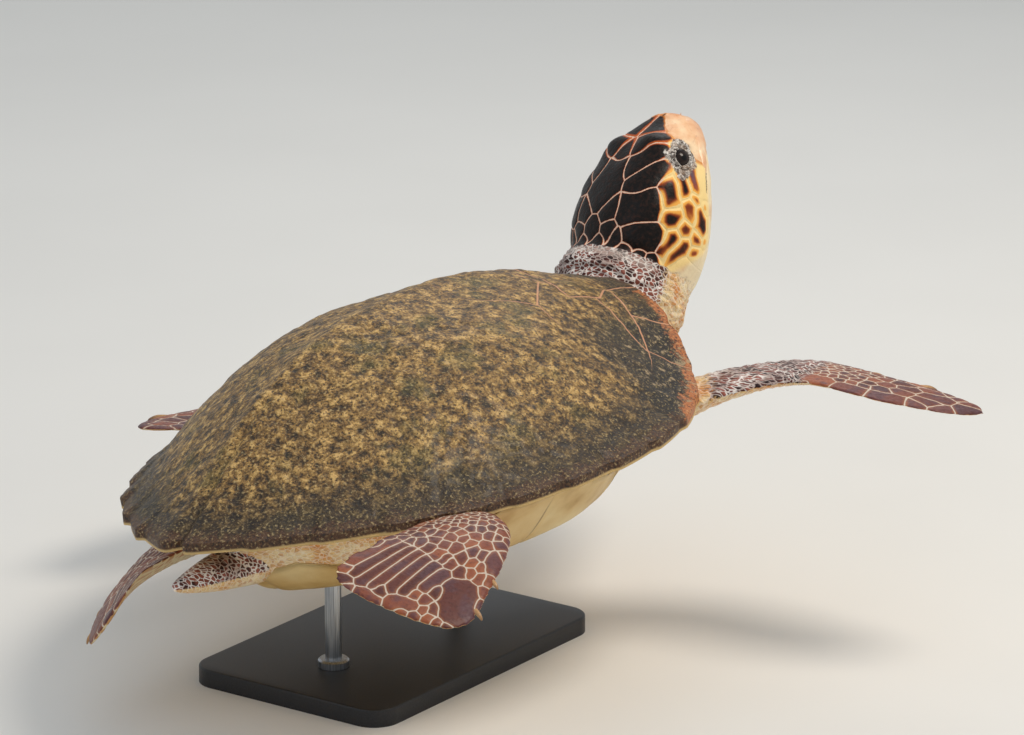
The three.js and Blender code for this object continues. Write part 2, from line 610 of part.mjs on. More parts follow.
body.add(part("neck", neck, NECK_SKIN), part("head", head, HEAD_SCALES));
body.add(part("lower_jaw", lowerJaw, BEAK_HORN));
body.add(part("beak_upper", upperBeak, BEAK_HORN), part("beak_lower", lowerBeak, BEAK_HORN));
body.add(part("eye_left", eye(1), EYE_BLACK), part("eye_right", eye(-1), EYE_BLACK));
const FLIPPERS = {
  front_left: [FRONT_LEFT, 1],
  front_right: [FRONT_RIGHT, -1],
  hind_left: [HIND_LEFT, 1],
  hind_right: [HIND_RIGHT, -1],
};
for (const [name, [shape, side]] of Object.entries(FLIPPERS)) {
  body.add(part(`flipper_${name}`, flipper(shape, side), FLIPPER_SCALES));
  shape.claws.forEach((t, i) => body.add(part(`claw_${name}_${i + 1}`, claw(shape, side, t), CLAW_HORN)));
}
body.add(part("tail", tail, NECK_SKIN));

/** The stand's flat base, with round corners. */
function baseGeometry() {
  const [length, width, thick] = BASE_SIZE;
  const [x, y] = [length / 2 - BASE_CORNER, width / 2 - BASE_CORNER];
  const shape = new THREE.Shape();
  shape.absarc(x, y, BASE_CORNER, 0, Math.PI / 2);
  shape.absarc(-x, y, BASE_CORNER, Math.PI / 2, Math.PI);
  shape.absarc(-x, -y, BASE_CORNER, Math.PI, 1.5 * Math.PI);
  shape.absarc(x, -y, BASE_CORNER, 1.5 * Math.PI, 2 * Math.PI);
  return new THREE.ExtrudeGeometry(shape, { depth: thick, bevelEnabled: false, curveSegments: 5 });
}

/** A rod from the base up to the plastron, cut to its slope. */
function rod(x) {
  const bottom = BASE_SIZE[2] + GAP;
  const geometry = new THREE.CylinderGeometry(ROD_RADIUS, ROD_RADIUS, BODY_HEIGHT, 20);
  geometry.rotateX(Math.PI / 2).translate(x, 0, bottom + BODY_HEIGHT / 2);
  return solidOf(geometry).intersect(moved(belowUnderside(-GAP), body.matrix));
}

const turtle = new THREE.Group();
turtle.add(body);
turtle.add(part("stand_base", solidOf(baseGeometry()), STAND_BLACK));
turtle.add(part("stand_rod_front", rod(ROD_PLACES[1]), STAND_STEEL));
turtle.add(part("stand_rod_rear", rod(ROD_PLACES[0]), STAND_STEEL));

export default turtle;
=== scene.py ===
"""A loggerhead turtle, life size, as a still museum model on a plain display stand: its looks.

Shapes are worked out in millimetres in two frames. The body frame is level, with its origin in the middle
of the shell at the height of its side rims, +X ahead and +Y to the left. The head frame has its origin in
the middle of the back of the skull and +X towards the beak. Placement takes both into the shared frame.
"""
import logging
import math
from collections.abc import Callable, Sequence
from dataclasses import dataclass
from enum import Enum, IntEnum

import bpy
import numpy as np
from mathutils import Matrix, Vector


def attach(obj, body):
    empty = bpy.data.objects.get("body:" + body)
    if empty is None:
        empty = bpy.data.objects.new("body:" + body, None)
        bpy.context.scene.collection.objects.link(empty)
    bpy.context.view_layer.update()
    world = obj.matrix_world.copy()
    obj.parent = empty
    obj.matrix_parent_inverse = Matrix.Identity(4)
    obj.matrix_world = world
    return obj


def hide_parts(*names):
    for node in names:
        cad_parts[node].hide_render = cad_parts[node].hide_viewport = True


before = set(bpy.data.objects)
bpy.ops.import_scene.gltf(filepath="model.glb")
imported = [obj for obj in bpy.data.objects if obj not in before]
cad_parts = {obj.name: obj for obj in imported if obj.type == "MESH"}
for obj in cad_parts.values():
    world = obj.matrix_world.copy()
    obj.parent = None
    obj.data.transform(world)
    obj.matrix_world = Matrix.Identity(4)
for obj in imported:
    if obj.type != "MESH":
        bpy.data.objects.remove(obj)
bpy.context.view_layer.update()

log = logging.getLogger("turtle")
MM = 0.001  # metres in a millimetre
WELD = 2e-6  # metres, below which points of a rolled grid are one
CLASSES = 6  # scales are sorted into so many classes, so that no two neighbours share one
FAR = 99.0  # millimetres, past every mark of the head
PLAIN_TONE = 1.5  # scutes with a higher tone have no dark core
Stops = Sequence[tuple[float, float]]
Place = Callable[[np.ndarray, np.ndarray], np.ndarray]
Socket = bpy.types.NodeSocket


class Side(IntEnum):
    """A side of the turtle, as the sign of its Y."""

    LEFT = 1
    RIGHT = -1


class Element(Enum):
    """What is selected in a mesh, with the name of its list."""

    FACE = "polygons"
    EDGE = "edges"


# ---------------------------------------------------------------- numbers
def through(stops: Stops, at: np.ndarray) -> np.ndarray:
    """Reads a smooth curve through stops.

    Args:
        stops: pairs of place and value, in rising order of place.
        at: places to read it at; past either end it holds the end's value.

    Returns:
        The curve's values.
    """
    places, values = np.array(stops, float).T
    last = len(places) - 1
    low = np.maximum(np.arange(last + 1) - 1, 0)
    high = np.minimum(np.arange(last + 1) + 1, last)
    slopes = (values[high] - values[low]) / (places[high] - places[low])
    at = np.clip(at, places[0], places[-1])
    i = np.clip(np.searchsorted(places, at, side="right") - 1, 0, last - 1)
    width = places[i + 1] - places[i]
    t = (at - places[i]) / width
    rise = values[i] * (2 * t**3 - 3 * t**2 + 1) + values[i + 1] * (3 * t**2 - 2 * t**3)
    bend = slopes[i] * (t**3 - 2 * t**2 + t) + slopes[i + 1] * (t**3 - t**2)
    return rise + bend * width


def bump(distance: np.ndarray, width: float) -> np.ndarray:
    """Gives a bell of height 1 and the given width."""
    return np.exp(-((distance / width) ** 2))


def ease(low: float, high: float, at: np.ndarray) -> np.ndarray:
    """Gives 0 below low, 1 above high and a smooth step between; low may be the higher one."""
    t = np.clip((at - low) / (high - low), 0, 1)
    return t * t * (3 - 2 * t)


def round_tip(v: np.ndarray, cap: float) -> np.ndarray:
    """Gives 1, and a quarter circle down to 0 over the last share of v."""
    return np.sqrt(np.clip(1 - (np.clip(v - 1 + cap, 0, 1) / cap) ** 2, 0, 1))


def unit(vectors: np.ndarray) -> np.ndarray:
    """Gives vectors of length 1."""
    return vectors / np.maximum(np.linalg.norm(vectors, axis=-1, keepdims=True), 1e-9)


def ripple(points: np.ndarray, size: float, seed: int) -> np.ndarray:
    """Gives smooth random waves over space, as a sum of sines in random directions.

    Args:
        points: places in millimetres.
        size: middle wavelength in millimetres.
        seed: picks one such pattern.

    Returns:
        Values of about -1 to 1.
    """
    draw = np.random.default_rng(seed)
    total = np.zeros(points.shape[:-1])
    waves = 9
    for _ in range(waves):
        way = unit(draw.normal(size=3)) * 2 * math.pi / (size * draw.uniform(0.7, 1.5))
        total += np.sin(points @ way + draw.uniform(0, 2 * math.pi))
    return total / math.sqrt(waves)


# ---------------------------------------------------------------- frames
def turned(*turns: tuple[float, str]) -> np.ndarray:
    """Gives the matrix of some turns.

    Args:
        turns: degrees and axis of each, the last of which is done first.

    Returns:
        The 3 by 3 matrix.
    """
    matrix = np.eye(3)
    for degrees, axis in turns:
        matrix = matrix @ np.array(Matrix.Rotation(math.radians(degrees), 3, axis))
    return matrix


@dataclass
class Placement:
    """How the head lies on the body and the body on its stand."""

    body_pitch: float = 2.5  # degrees, nose up
    body_bank: float = -6.5  # right side up
    body_height: float = 240.0
    head_pitch: float = 49.0
    head_turn: float = -5.0  # to the right
    head_bank: float = -14.0
    head_at: tuple[float, float, float] = (457.0, 0.0, 74.0)

    def __post_init__(self) -> None:
        """Works the two turns out."""
        self.body_turn = turned((-self.body_pitch, "Y"), (self.body_bank, "X"))
        self.head_turned = turned((self.head_turn, "Z"), (-self.head_pitch, "Y"), (self.head_bank, "X"))

    def world(self, body: np.ndarray) -> np.ndarray:
        """Takes body frame millimetres to metres in the shared frame."""
        return (body @ self.body_turn.T + [0, 0, self.body_height]) * MM

    def body(self, world: np.ndarray) -> np.ndarray:
        """Takes metres in the shared frame to body frame millimetres."""
        return (world / MM - [0, 0, self.body_height]) @ self.body_turn

    def from_head(self, head: np.ndarray) -> np.ndarray:
        """Takes head frame points to the body frame."""
        return head @ self.head_turned.T + self.head_at

    def head_world(self, head: np.ndarray) -> np.ndarray:
        """Takes head frame points to metres in the shared frame."""
        return self.world(self.from_head(head))

    def to_head(self, body: np.ndarray) -> np.ndarray:
        """Takes body frame points to the head frame."""
        return (body - self.head_at) @ self.head_turned


# ---------------------------------------------------------------- mesh tools
def deselect_all() -> None:
    """Leaves nothing selected, in object mode."""
    if bpy.context.object and bpy.context.object.mode != "OBJECT":
        bpy.ops.object.mode_set(mode="OBJECT")
    bpy.ops.object.select_all(action="DESELECT")


def select_only(piece: bpy.types.Object) -> None:
    """Selects one piece and makes it the active one.

    Args:
        piece: the piece.
    """
    deselect_all()
    piece.select_set(True)
    bpy.context.view_layer.objects.active = piece


def read(items: bpy.types.bpy_prop_collection, key: str, width: int, kind: type) -> np.ndarray:
    """Reads numbers off a mesh.

    Args:
        items: its vertices, edges or the like.
        key: name of the numbers.
        width: how many there are for each item.
        kind: their type.

    Returns:
        One row for each item, or one number where the width is 1.
    """
    flat = np.empty(width * len(items), kind)
    items.foreach_get(key, flat)
    return flat.reshape(-1, width) if width > 1 else flat


def points_of(piece: bpy.types.Object) -> np.ndarray:
    """Gives a piece's vertices in metres."""
    return read(piece.data.vertices, "co", 3, np.float32).astype(float)


def normals_of(piece: bpy.types.Object) -> np.ndarray:
    """Gives the normals at a piece's vertices."""
    return read(piece.data.vertex_normals, "vector", 3, np.float32).astype(float)


def edges_of(piece: bpy.types.Object) -> np.ndarray:
    """Gives the two vertices of each of a piece's edges."""
    return read(piece.data.edges, "vertices", 2, np.int32)


def set_points(piece: bpy.types.Object, points: np.ndarray) -> None:
    """Moves a piece's vertices."""
    piece.data.vertices.foreach_set("co", points.astype(np.float32).ravel())
    piece.data.update()


def set_field(piece: bpy.types.Object, name: str, values: np.ndarray) -> None:
    """Stores a number, or three, at each vertex for the materials to read.

    Args:
        piece: mesh object.
        name: attribute's name.
        values: one value or one row of three for each vertex.
    """
    kind, key = ("FLOAT", "value") if values.ndim == 1 else ("FLOAT_VECTOR", "vector")
    attribute = piece.data.attributes.new(name, kind, "POINT")
    attribute.data.foreach_set(key, values.astype(np.float32).ravel())


def evened(values: np.ndarray, edges: np.ndarray, rounds: int, back: float = 0.0) -> np.ndarray:
    """Evens values out over a mesh by drawing each towards its neighbours' mean.

    Args:
        values: rows of numbers, one row for each vertex.
        edges: pairs of vertices.
        rounds: how often it is done.
        back: share of each step that is taken back, so that a shape keeps its volume.

    Returns:
        The evened values.
    """
    count = len(values)
    ends = np.concatenate([edges, edges[:, ::-1]])
    order = np.bincount(ends[:, 0], minlength=count)[:, None]
    for step in [0.5, -0.5 * back] * rounds:
        if step:
            near = [np.bincount(ends[:, 0], values[ends[:, 1], k], count) for k in range(values.shape[1])]
            values = values + step * (np.stack(near, -1) / np.maximum(order, 1) - values)
    return values


def rolled_grid(name: str, columns: int, rows: int, place: Place) -> bpy.types.Object:
    """Rolls a flat grid into a closed surface, welding the edges and poles that meet.

    Args:
        name: piece's name.
        columns: faces across, for the first number.
        rows: faces along, for the second number.
        place: gives places in metres for two numbers from 0 to 1.

    Returns:
        The piece, smooth shaded, with its faces pointing out.
    """
    deselect_all()
    bpy.ops.mesh.primitive_grid_add(x_subdivisions=columns, y_subdivisions=rows, size=2)
    piece = bpy.context.object
    piece.name = piece.data.name = name
    flat = points_of(piece)
    u = np.round((flat[:, 0] + 1) / 2 * columns) / columns
    v = np.round((flat[:, 1] + 1) / 2 * rows) / rows
    set_points(piece, place(u, v))
    close_up(piece)
    return piece


def close_up(piece: bpy.types.Object) -> None:
    """Welds a piece's doubles, turns its faces out and shades it smooth.

    Args:
        piece: mesh object.
    """
    select_only(piece)
    bpy.ops.object.mode_set(mode="EDIT")
    bpy.ops.mesh.select_all(action="SELECT")
    bpy.ops.mesh.remove_doubles(threshold=WELD)
    bpy.ops.mesh.normals_make_consistent(inside=False)
    bpy.ops.object.mode_set(mode="OBJECT")
    bpy.ops.object.shade_smooth()


def joined(name: str, pieces: list[bpy.types.Object]) -> bpy.types.Object:
    """Joins pieces into the first of them and names it.

    Args:
        name: new name.
        pieces: mesh objects.

    Returns:
        The joined piece.
    """
    deselect_all()
    for piece in pieces:
        piece.select_set(True)
    bpy.context.view_layer.objects.active = pieces[0]
    bpy.ops.object.join()
    pieces[0].name = pieces[0].data.name = name
    return pieces[0]


def select_elements(piece: bpy.types.Object, element: Element, chosen: np.ndarray) -> None:
    """Selects some faces or edges, and leaves the piece in edit mode.

    Args:
        piece: mesh object.
        element: which of the two.
        chosen: whether each of them is selected.
    """
    select_only(piece)
    bpy.ops.object.mode_set(mode="EDIT")
    bpy.ops.mesh.select_mode(type=element.name)
    bpy.ops.mesh.select_all(action="DESELECT")
    bpy.ops.object.mode_set(mode="OBJECT")
    getattr(piece.data, element.value).foreach_set("select", chosen)
    bpy.ops.object.mode_set(mode="EDIT")


def select_faces(piece: bpy.types.Object, chosen: np.ndarray) -> None:
    """Selects the faces whose vertices are all chosen, and leaves the piece in edit mode.

    Args:
        piece: mesh object.
        chosen: whether each vertex is chosen.
    """
    corners = read(piece.data.loops, "vertex_index", 1, np.int32)
    starts = read(piece.data.polygons, "loop_start", 1, np.int32)
    picked = np.minimum.reduceat(chosen[corners].astype(np.int8), starts).astype(bool)
    select_elements(piece, Element.FACE, picked)


def deliver(piece: bpy.types.Object, nodes: list[str], finish: bpy.types.Material) -> None:
    """Dresses a finished piece and ties it to the frame.

    Args:
        piece: finished mesh object.
        nodes: CAD nodes it stands for.
        finish: its material.
    """
    piece.data.materials.clear()
    piece.data.materials.append(finish)
    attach(piece, "root")
    if nodes:
        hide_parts(*nodes)
    triangles = sum(len(face.vertices) - 2 for face in piece.data.polygons)
    log.info("%s: %d triangles, for %s", piece.name, triangles, ", ".join(nodes) or "nothing")


# ---------------------------------------------------------------- scales
@dataclass
class Scales:
    """A pattern of horny scales, each one round a short middle line."""

    starts: np.ndarray  # one end of each middle line
    ends: np.ndarray  # its other end
    sizes: np.ndarray  # how far each reaches more than another, in millimetres
    tones: np.ndarray  # 0 to 1, how each differs in colour

    def distances(self, points: np.ndarray) -> np.ndarray:
        """Gives each point's distance from each scale's middle line, less the scale's size.

        Args:
            points: one row for each point.

        Returns:
            One row for each point and one column for each scale.
        """
        line = self.ends - self.starts
        offset = points[:, None, :] - self.starts
        along = (offset * line).sum(-1) / np.maximum((line**2).sum(-1), 1e-9)
        foot = offset - np.clip(along, 0, 1)[..., None] * line
        return np.sqrt((foot**2).sum(-1)) - self.sizes

    @staticmethod
    def gap(spots: np.ndarray, found: list[tuple[float, float, float, float, float]]) -> float:
        """Gives how far the nearest of some spots is from scales whose ends and sizes are given."""
        rows = np.array(found)
        return float(Scales(rows[:, :2], rows[:, 2:4], rows[:, 4], rows[:, 4]).distances(spots).min())


@dataclass
class CellFields:
    """Where each vertex lies in a pattern of scales."""

    classes: np.ndarray  # distance to the nearest scale of each class
    seam: np.ndarray  # distance to the nearest seam
    tone: np.ndarray  # tone of the scale

    @staticmethod
    def of(distances: np.ndarray, tones: np.ndarray, colours: np.ndarray | None = None) -> "CellFields":
        """Sorts scales into classes and reads the fields off their distances.

        Args:
            distances: each vertex's distance to each scale, lowest in its own.
            tones: each scale's tone.
            colours: each scale's class, or None to sort them here.

        Returns:
            The fields at each vertex.
        """
        two = np.argpartition(distances, 1, axis=1)[:, :2]
        values = np.take_along_axis(distances, two, axis=1)
        swap = values[:, 0] > values[:, 1]
        two[swap] = two[swap][:, ::-1]
        values.sort(axis=1)
        if colours is None:
            colours = CellFields.sorted_classes(two, distances.shape[1])
        far = np.full((len(distances), 1), distances.max())
        classes = [
            distances[:, colours == k].min(axis=1, keepdims=True) if (colours == k).any() else far
            for k in range(CLASSES)
        ]
        return CellFields(np.concatenate(classes, 1), (values[:, 1] - values[:, 0]) / 2, tones[two[:, 0]])

    @staticmethod
    def sorted_classes(pairs: np.ndarray, count: int) -> np.ndarray:
        """Gives each scale a class that none of its neighbours has.

        Args:
            pairs: pairs of neighbouring scales.
            count: number of scales.

        Returns:
            Each scale's class.
        """
        near: list[set[int]] = [set() for _ in range(count)]
        for a, b in np.unique(np.sort(pairs, axis=1), axis=0):
            near[a].add(int(b))
            near[b].add(int(a))
        left = {k: set(near[k]) for k in range(count)}
        order = []
        while left:
            fewest = min((len(others), k) for k, others in left.items())[1]
            order.append(fewest)
            for other in left.pop(fewest):
                left[other].discard(fewest)
        classes = np.full(count, -1)
        for k in reversed(order):
            taken = {classes[other] for other in near[k]}
            classes[k] = next((c for c in range(CLASSES) if c not in taken), 0)
        return classes

    def blended(self, other: "CellFields", chosen: np.ndarray) -> "CellFields":
        """Gives these fields with another pattern's where it is chosen.

        Args:
            other: the other pattern.
            chosen: whether each vertex takes it.

        Returns:
            The fields of both.
        """
        pick = chosen[:, None]
        return CellFields(
            np.where(pick, other.classes, self.classes),
            np.where(chosen, other.seam, self.seam),
            np.where(chosen, other.tone, self.tone),
        )

    def store(self, piece: bpy.types.Object) -> None:
        """Stores the fields on a piece for its material.

        Args:
            piece: mesh object with as many vertices.
        """
        set_field(piece, "cells_a", self.classes[:, :3])
        set_field(piece, "cells_b", self.classes[:, 3:])
        set_field(piece, "tone", self.tone)


# ---------------------------------------------------------------- shell
@dataclass
class Shell:
    """The carapace and the plastron, in shares of the shell's length where not in millimetres."""

    place: Placement
    length: float = 750.0
    crown: float = 150.0
    belly: float = 93.75
    groove: tuple[tuple[float, float], ...] = ((0.5, 1.8), (0.35, 10.0))  # depths and widths, laid together
    lumps: tuple[tuple[float, float, int], ...] = ((0.7, 38.0, 11), (0.35, 14.0, 12))  # height, size and seed
    plate: float = 13.0
    roof_gap: float = 20.8  # from the upper side down to the hidden roof
    rim: float = 11.0
    centre: tuple[float, float] = (22.5, 0.0)
    dome: float = 2.3  # power of the dome's fall towards the rim
    shoulder: float = 0.16  # how far it stands fuller near the rim
    shoulder_turn: float = 9.0  # power that keeps this near the rim
    keel: tuple[float, float] = (0.012, 0.035)  # height and width
    tooth: tuple[float, float] = (0.003, 0.01)  # how far the first rim scute stands out, then the last's more
    marginals: int = 13
    nape_share: float = 0.085
    nape_middle: float = 350.0
    seam_ring: float = 0.86
    first_share: float = 0.05
    spokes: int = 600
    half_rim: Stops = (
        (0.492, 0), (0.495, 0.06), (0.47, 0.145), (0.405, 0.243), (0.3, 0.328), (0.15, 0.373), (0, 0.37),
        (-0.15, 0.334), (-0.28, 0.268), (-0.38, 0.188), (-0.45, 0.108), (-0.484, 0.05), (-0.495, 0.02),
        (-0.484, 0),
    )
    rim_heights: Stops = (
        (-0.5, 0.014), (-0.2, 0), (0.15, 0), (0.3, 0.006), (0.39, 0.033), (0.45, 0.083), (0.495, 0.12),
    )
    keel_seams: Stops = (
        (0.3, 0.07), (0.125, 0.072), (-0.065, 0.068), (-0.245, 0.055),
    )
    keel_corners: Stops = (
        (0.365, 0.105), (0.215, 0.128), (0.03, 0.132), (-0.155, 0.118), (-0.32, 0.085),
    )
    costal_ends: Sequence[float] = (0.27, 0.42, 0.575, 0.735, 0.9)
    nape_half: Stops = (
        (0.56, 0.1), (0.408, 0.108), (0.368, 0.129), (0.304, 0.121), (0.327, 0.059),
    )
    belly_seams: Sequence[float] = (0.26, 0.14, -0.02, -0.15, -0.25)
    plastron_half: Stops = (
        (0.34, 0), (0.335, 0.075), (0.29, 0.15), (0.2, 0.2), (0.15, 0.29), (0.02, 0.315), (-0.12, 0.28),
        (-0.19, 0.19), (-0.27, 0.135), (-0.34, 0.075), (-0.36, 0),
    )

    def __post_init__(self) -> None:
        """Walks the half rim once, so that it can be read by share of its length."""
        points = np.array(self.half_rim, float) * self.length
        last = len(points) - 1
        t = np.linspace(0, last, 4001)
        i = np.minimum(t.astype(int), last - 1)
        w = (t - i)[:, None]
        p0, p1, p2, p3 = (points[np.clip(i + k, 0, last)] for k in (-1, 0, 1, 2))
        a, b = (p2 - p0) / 2, (p3 - p1) / 2
        walk = (2 * p1 - 2 * p2 + a + b) * w**3 + (3 * p2 - 3 * p1 - 2 * a - b) * w**2 + a * w + p1
        steps = np.r_[0, np.cumsum(np.hypot(*np.diff(walk, axis=0).T))]
        self.walk, self.shares, self.half_length = walk, steps / steps[-1], float(steps[-1])

    def rim_at(self, share: np.ndarray, side: np.ndarray) -> np.ndarray:
        """Gives the rim's plan points at shares of half its length, on a side of 1 or -1."""
        x, y = (np.interp(share, self.shares, self.walk[:, k]) for k in (0, 1))
        return np.stack([x, side * y], -1)

    def round_rim(self, u: np.ndarray) -> tuple[np.ndarray, np.ndarray, np.ndarray]:
        """Reads the rim right round.

        Args:
            u: shares of the way right round the rim.

        Returns:
            Shares of half its length, sides and plan points.
        """
        side = np.where(u <= 0.5, 1.0, -1.0)
        share = np.where(u <= 0.5, 2 * u, 2 - 2 * u)
        return share, side, self.rim_at(share, side)

    def rim_height(self, x: np.ndarray) -> np.ndarray:
        """Gives the height of the rim's upper edge."""
        return through(self.rim_heights, x / self.length) * self.length

    def top(self, rim: np.ndarray, r: np.ndarray) -> np.ndarray:
        """Gives the carapace's upper side.

        Args:
            rim: rim points.
            r: shares of the way to them.

        Returns:
            Heights.
        """
        share = 1 - (1 + self.shoulder) * r**self.dome + self.shoulder * r**self.shoulder_turn
        tall, wide = self.keel
        keel = tall * self.length * bump(r * rim[..., 1], wide * self.length) * (1 - r**4)
        return self.rim_height(rim[..., 0]) * (1 - share) + self.crown * share + keel

    def bottom(self, rim: np.ndarray, r: np.ndarray) -> np.ndarray:
        """Gives the underside's height."""
        low = ease(0.06, 0.42, 1 - r)
        return (self.rim_height(rim[..., 0]) - self.rim) * (1 - low) - self.belly * low

    def teeth(self, share: np.ndarray) -> np.ndarray:
        """Gives how far a rim scute's edge stands out, rising to near its rear corner.

        Args:
            share: places along half the rim.

        Returns:
            Millimetres outwards.
        """
        along = (share - self.nape_share) / (1 - self.nape_share) * self.marginals
        corner = 0.8  # where a scute's edge turns back
        rise = np.where(along % 1 < corner, along % 1, corner * ease(1, corner, along % 1))
        least, more = self.tooth
        return np.where(along > 0, rise * (least + more * along / self.marginals) * self.length, 0)

    def plan(self, rim: np.ndarray, r: np.ndarray, out: np.ndarray) -> np.ndarray:
        """Gives plan points between the middle and the rim, or past it.

        Args:
            rim: rim points.
            r: shares of the way to them from the middle.
            out: millimetres further out.

        Returns:
            Plan points.
        """
        spoke = rim - self.centre
        reach = np.linalg.norm(spoke, axis=-1)
        return self.centre + spoke * (r + out / reach)[..., None]

    # -------- scutes
    def ring_span(self, start: float, end: float, count: int, reach: float) -> list[tuple[float, float]]:
        """Gives plan points over a span of the left half, at a share of the way to the rim."""
        rim = self.rim_at(np.linspace(start, end, count), np.ones(count))
        return [tuple(point) for point in self.plan(rim, np.full(count, reach), np.zeros(count))]

    def outlines(self) -> list[tuple[np.ndarray, int]]:
        """Works out the scutes within the ring of rim scutes.

        Returns:
            The plan outline and the class of each.
        """
        size, past, found = self.length, 0.93, []
        last = len(self.keel_corners) - 1
        seams = [(x * size, y * size) for x, y in self.keel_seams]
        corners = [(x * size, y * size) for x, y in self.keel_corners]
        for i, corner in enumerate(corners):
            front = self.ring_span(0, self.first_share, 3, past) if i == 0 else [seams[i - 1]]
            rear = self.ring_span(self.costal_ends[last], 1, 4, past) if i == last else [seams[i]]
            left = [*front, corner, *rear]
            right = [(x, -y) for x, y in reversed(left) if abs(y) > 1e-6]
            found.append((np.array(left + right), i % 2))
            start = self.first_share if i == 0 else self.costal_ends[i - 1]
            keel = [corner] + ([seams[i - 1], corners[i - 1]] if i else [])
            costal = np.array(self.ring_span(start, self.costal_ends[i], 9, past) + keel)
            found += [(costal * [1, hand], 2 + i % 2) for hand in Side]
        return found

    def scute_fields(self, share: np.ndarray, side: np.ndarray, rim: np.ndarray, r: np.ndarray) -> CellFields:
        """Reads the pattern of the carapace's scutes.

        Args:
            share: vertices' shares along their half of the rim.
            side: their sides; not used.
            rim: their rim points.
            r: their shares of the way to the rim.

        Returns:
            The pattern's fields.
        """
        spot = self.plan(rim, r, np.zeros(len(r)))
        half = np.array(self.nape_half) * self.length
        nape = signed_distance(spot, np.concatenate([half, half[::-1] * [1, -1]]))
        ring = (r - self.seam_ring) * np.linalg.norm(rim - self.centre, axis=-1)
        distances, colours = [], []
        for outline, colour in self.outlines():
            distances.append(np.maximum(signed_distance(spot, outline), ring))
            colours.append(colour)
        corners = np.linspace(self.nape_share, 1, self.marginals + 1)
        reach = self.half_length * np.maximum(r, 0.3)
        for hand in Side:
            for j in range(self.marginals):
                wedge = np.maximum(corners[j] - share, share - corners[j + 1]) * reach
                distances.append(np.maximum.reduce([-ring, wedge, -hand * spot[:, 1]]))
                colours.append(4 + (j + (hand < 0)) % 2)
        distances = [np.maximum(distance, -nape) for distance in distances] + [nape]
        colours.append(1)
        tones = np.random.default_rng(5).uniform(0, 1, len(colours))
        return CellFields.of(np.stack(distances, 1), tones, np.array(colours))

    # -------- pieces
    def carapace(self) -> bpy.types.Object:
        """Models the carapace with its scutes' seams, growth rings, keel and toothed rim.

        Returns:
            The finished carapace.
        """
        top = 1 - (1 - np.linspace(0, 1, 112)) ** 1.15
        edge, lip, inner = 8, 16, 10
        lip_width, roof = 0.16, 0.62
        under = np.linspace(1 - lip_width, 0, inner) * roof
        r = np.r_[top, np.ones(edge), np.linspace(1, 1 - lip_width, lip), under]
        zone = np.r_[np.zeros(len(top)), np.ones(edge), np.full(lip, 2.0), np.full(inner, 3.0)]
        down = np.r_[np.zeros(len(top)), np.linspace(0, 1, edge), np.ones(lip), np.ones(inner)]
        rows = len(r) - 1

        def place(u: np.ndarray, v: np.ndarray) -> np.ndarray:
            """Gives the upper side from the middle out, the edge, the lip and the hidden roof.

            Args:
                u: share of the way round the rim.
                v: share of the rows.

            Returns:
                Places in metres.
            """
            row = np.round(v * rows).astype(int)
            share, _, rim = self.round_rim(u)
            reach, sort, drop = r[row], zone[row], down[row]
            tooth = self.teeth(share) * ease(0.9, 1, reach) * (sort <= 2) + 1e-9
            spot = self.plan(rim, reach, tooth)
            high, low = self.top(rim, reach), self.bottom(rim, np.maximum(reach, 1 - lip_width))
            round_edge = self.rim * (1 - np.cos(math.pi * drop)) / 2
            height = np.where(sort < 1, high, np.where(sort < 2, high - round_edge, low))
            height = np.where(sort > 2, high - self.roof_gap, height)
            return self.place.world(np.concatenate([spot, height[:, None]], 1))

        piece = rolled_grid("carapace_horn", self.spokes, rows, place)
        self.finish_carapace(piece)
        return piece

    def polar(self, spot: np.ndarray) -> tuple[np.ndarray, ...]:
        """Finds where plan points lie between the middle and the rim.

        Args:
            spot: plan points.

        Returns:
            Their rim points' shares and sides, the rim points, and their shares of the way there.
        """
        side = np.where(spot[:, 1] >= 0, 1.0, -1.0)
        offset = spot - self.centre
        angle = np.arctan2(side * offset[:, 1], offset[:, 0])
        walk = self.walk - self.centre
        share = np.interp(angle, np.arctan2(walk[:, 1], walk[:, 0]), self.shares)
        rim = self.rim_at(share, side)
        r = np.linalg.norm(offset, axis=1) / np.linalg.norm(rim - self.centre, axis=1)
        return share, side, rim, r

    def finish_carapace(self, piece: bpy.types.Object) -> None:
        """Sculpts the carapace's seams and growth, and stores what its material reads.

        Args:
            piece: the carapace.
        """
        body = self.place.body(points_of(piece))
        share, side, rim, r = self.polar(body[:, :2])
        fields = self.scute_fields(share, side, rim, np.minimum(r, 1.05))
        high = self.top(rim, np.minimum(r, 1))
        above = ease(-self.rim, 0, body[:, 2] - high) * (r < 1.1)
        seam = fields.seam
        groove = -sum(deep * bump(seam, wide) for deep, wide in self.groove)
        lumps = sum(tall * ripple(body, size, seed) for tall, size, seed in self.lumps)
        normals = normals_of(piece) @ self.place.body_turn
        body = body + normals * (above * (groove + lumps))[:, None]
        set_points(piece, self.place.world(body))
        fields.store(piece)
        out = np.linalg.norm(rim - self.centre, axis=1) * (1 - r)
        x, y = self.nape_middle, 1.15 * body[:, 1]
        nape = ease(300, 200, np.hypot(body[:, 0] - x, y))  # the seams are pale round here
        set_field(piece, "zone", np.stack([out, nape, 1 - above], 1))
        front = ease(70, 190, body[:, 0]) * ease(45, 95, np.abs(body[:, 1]))  # where the rim is orange
        dusk = ease(-60, -190, body[:, 1]) * ease(90, 200, body[:, 0])  # painted shade over the right shoulder
        set_field(piece, "front", front)
        set_field(piece, "dusk", dusk)

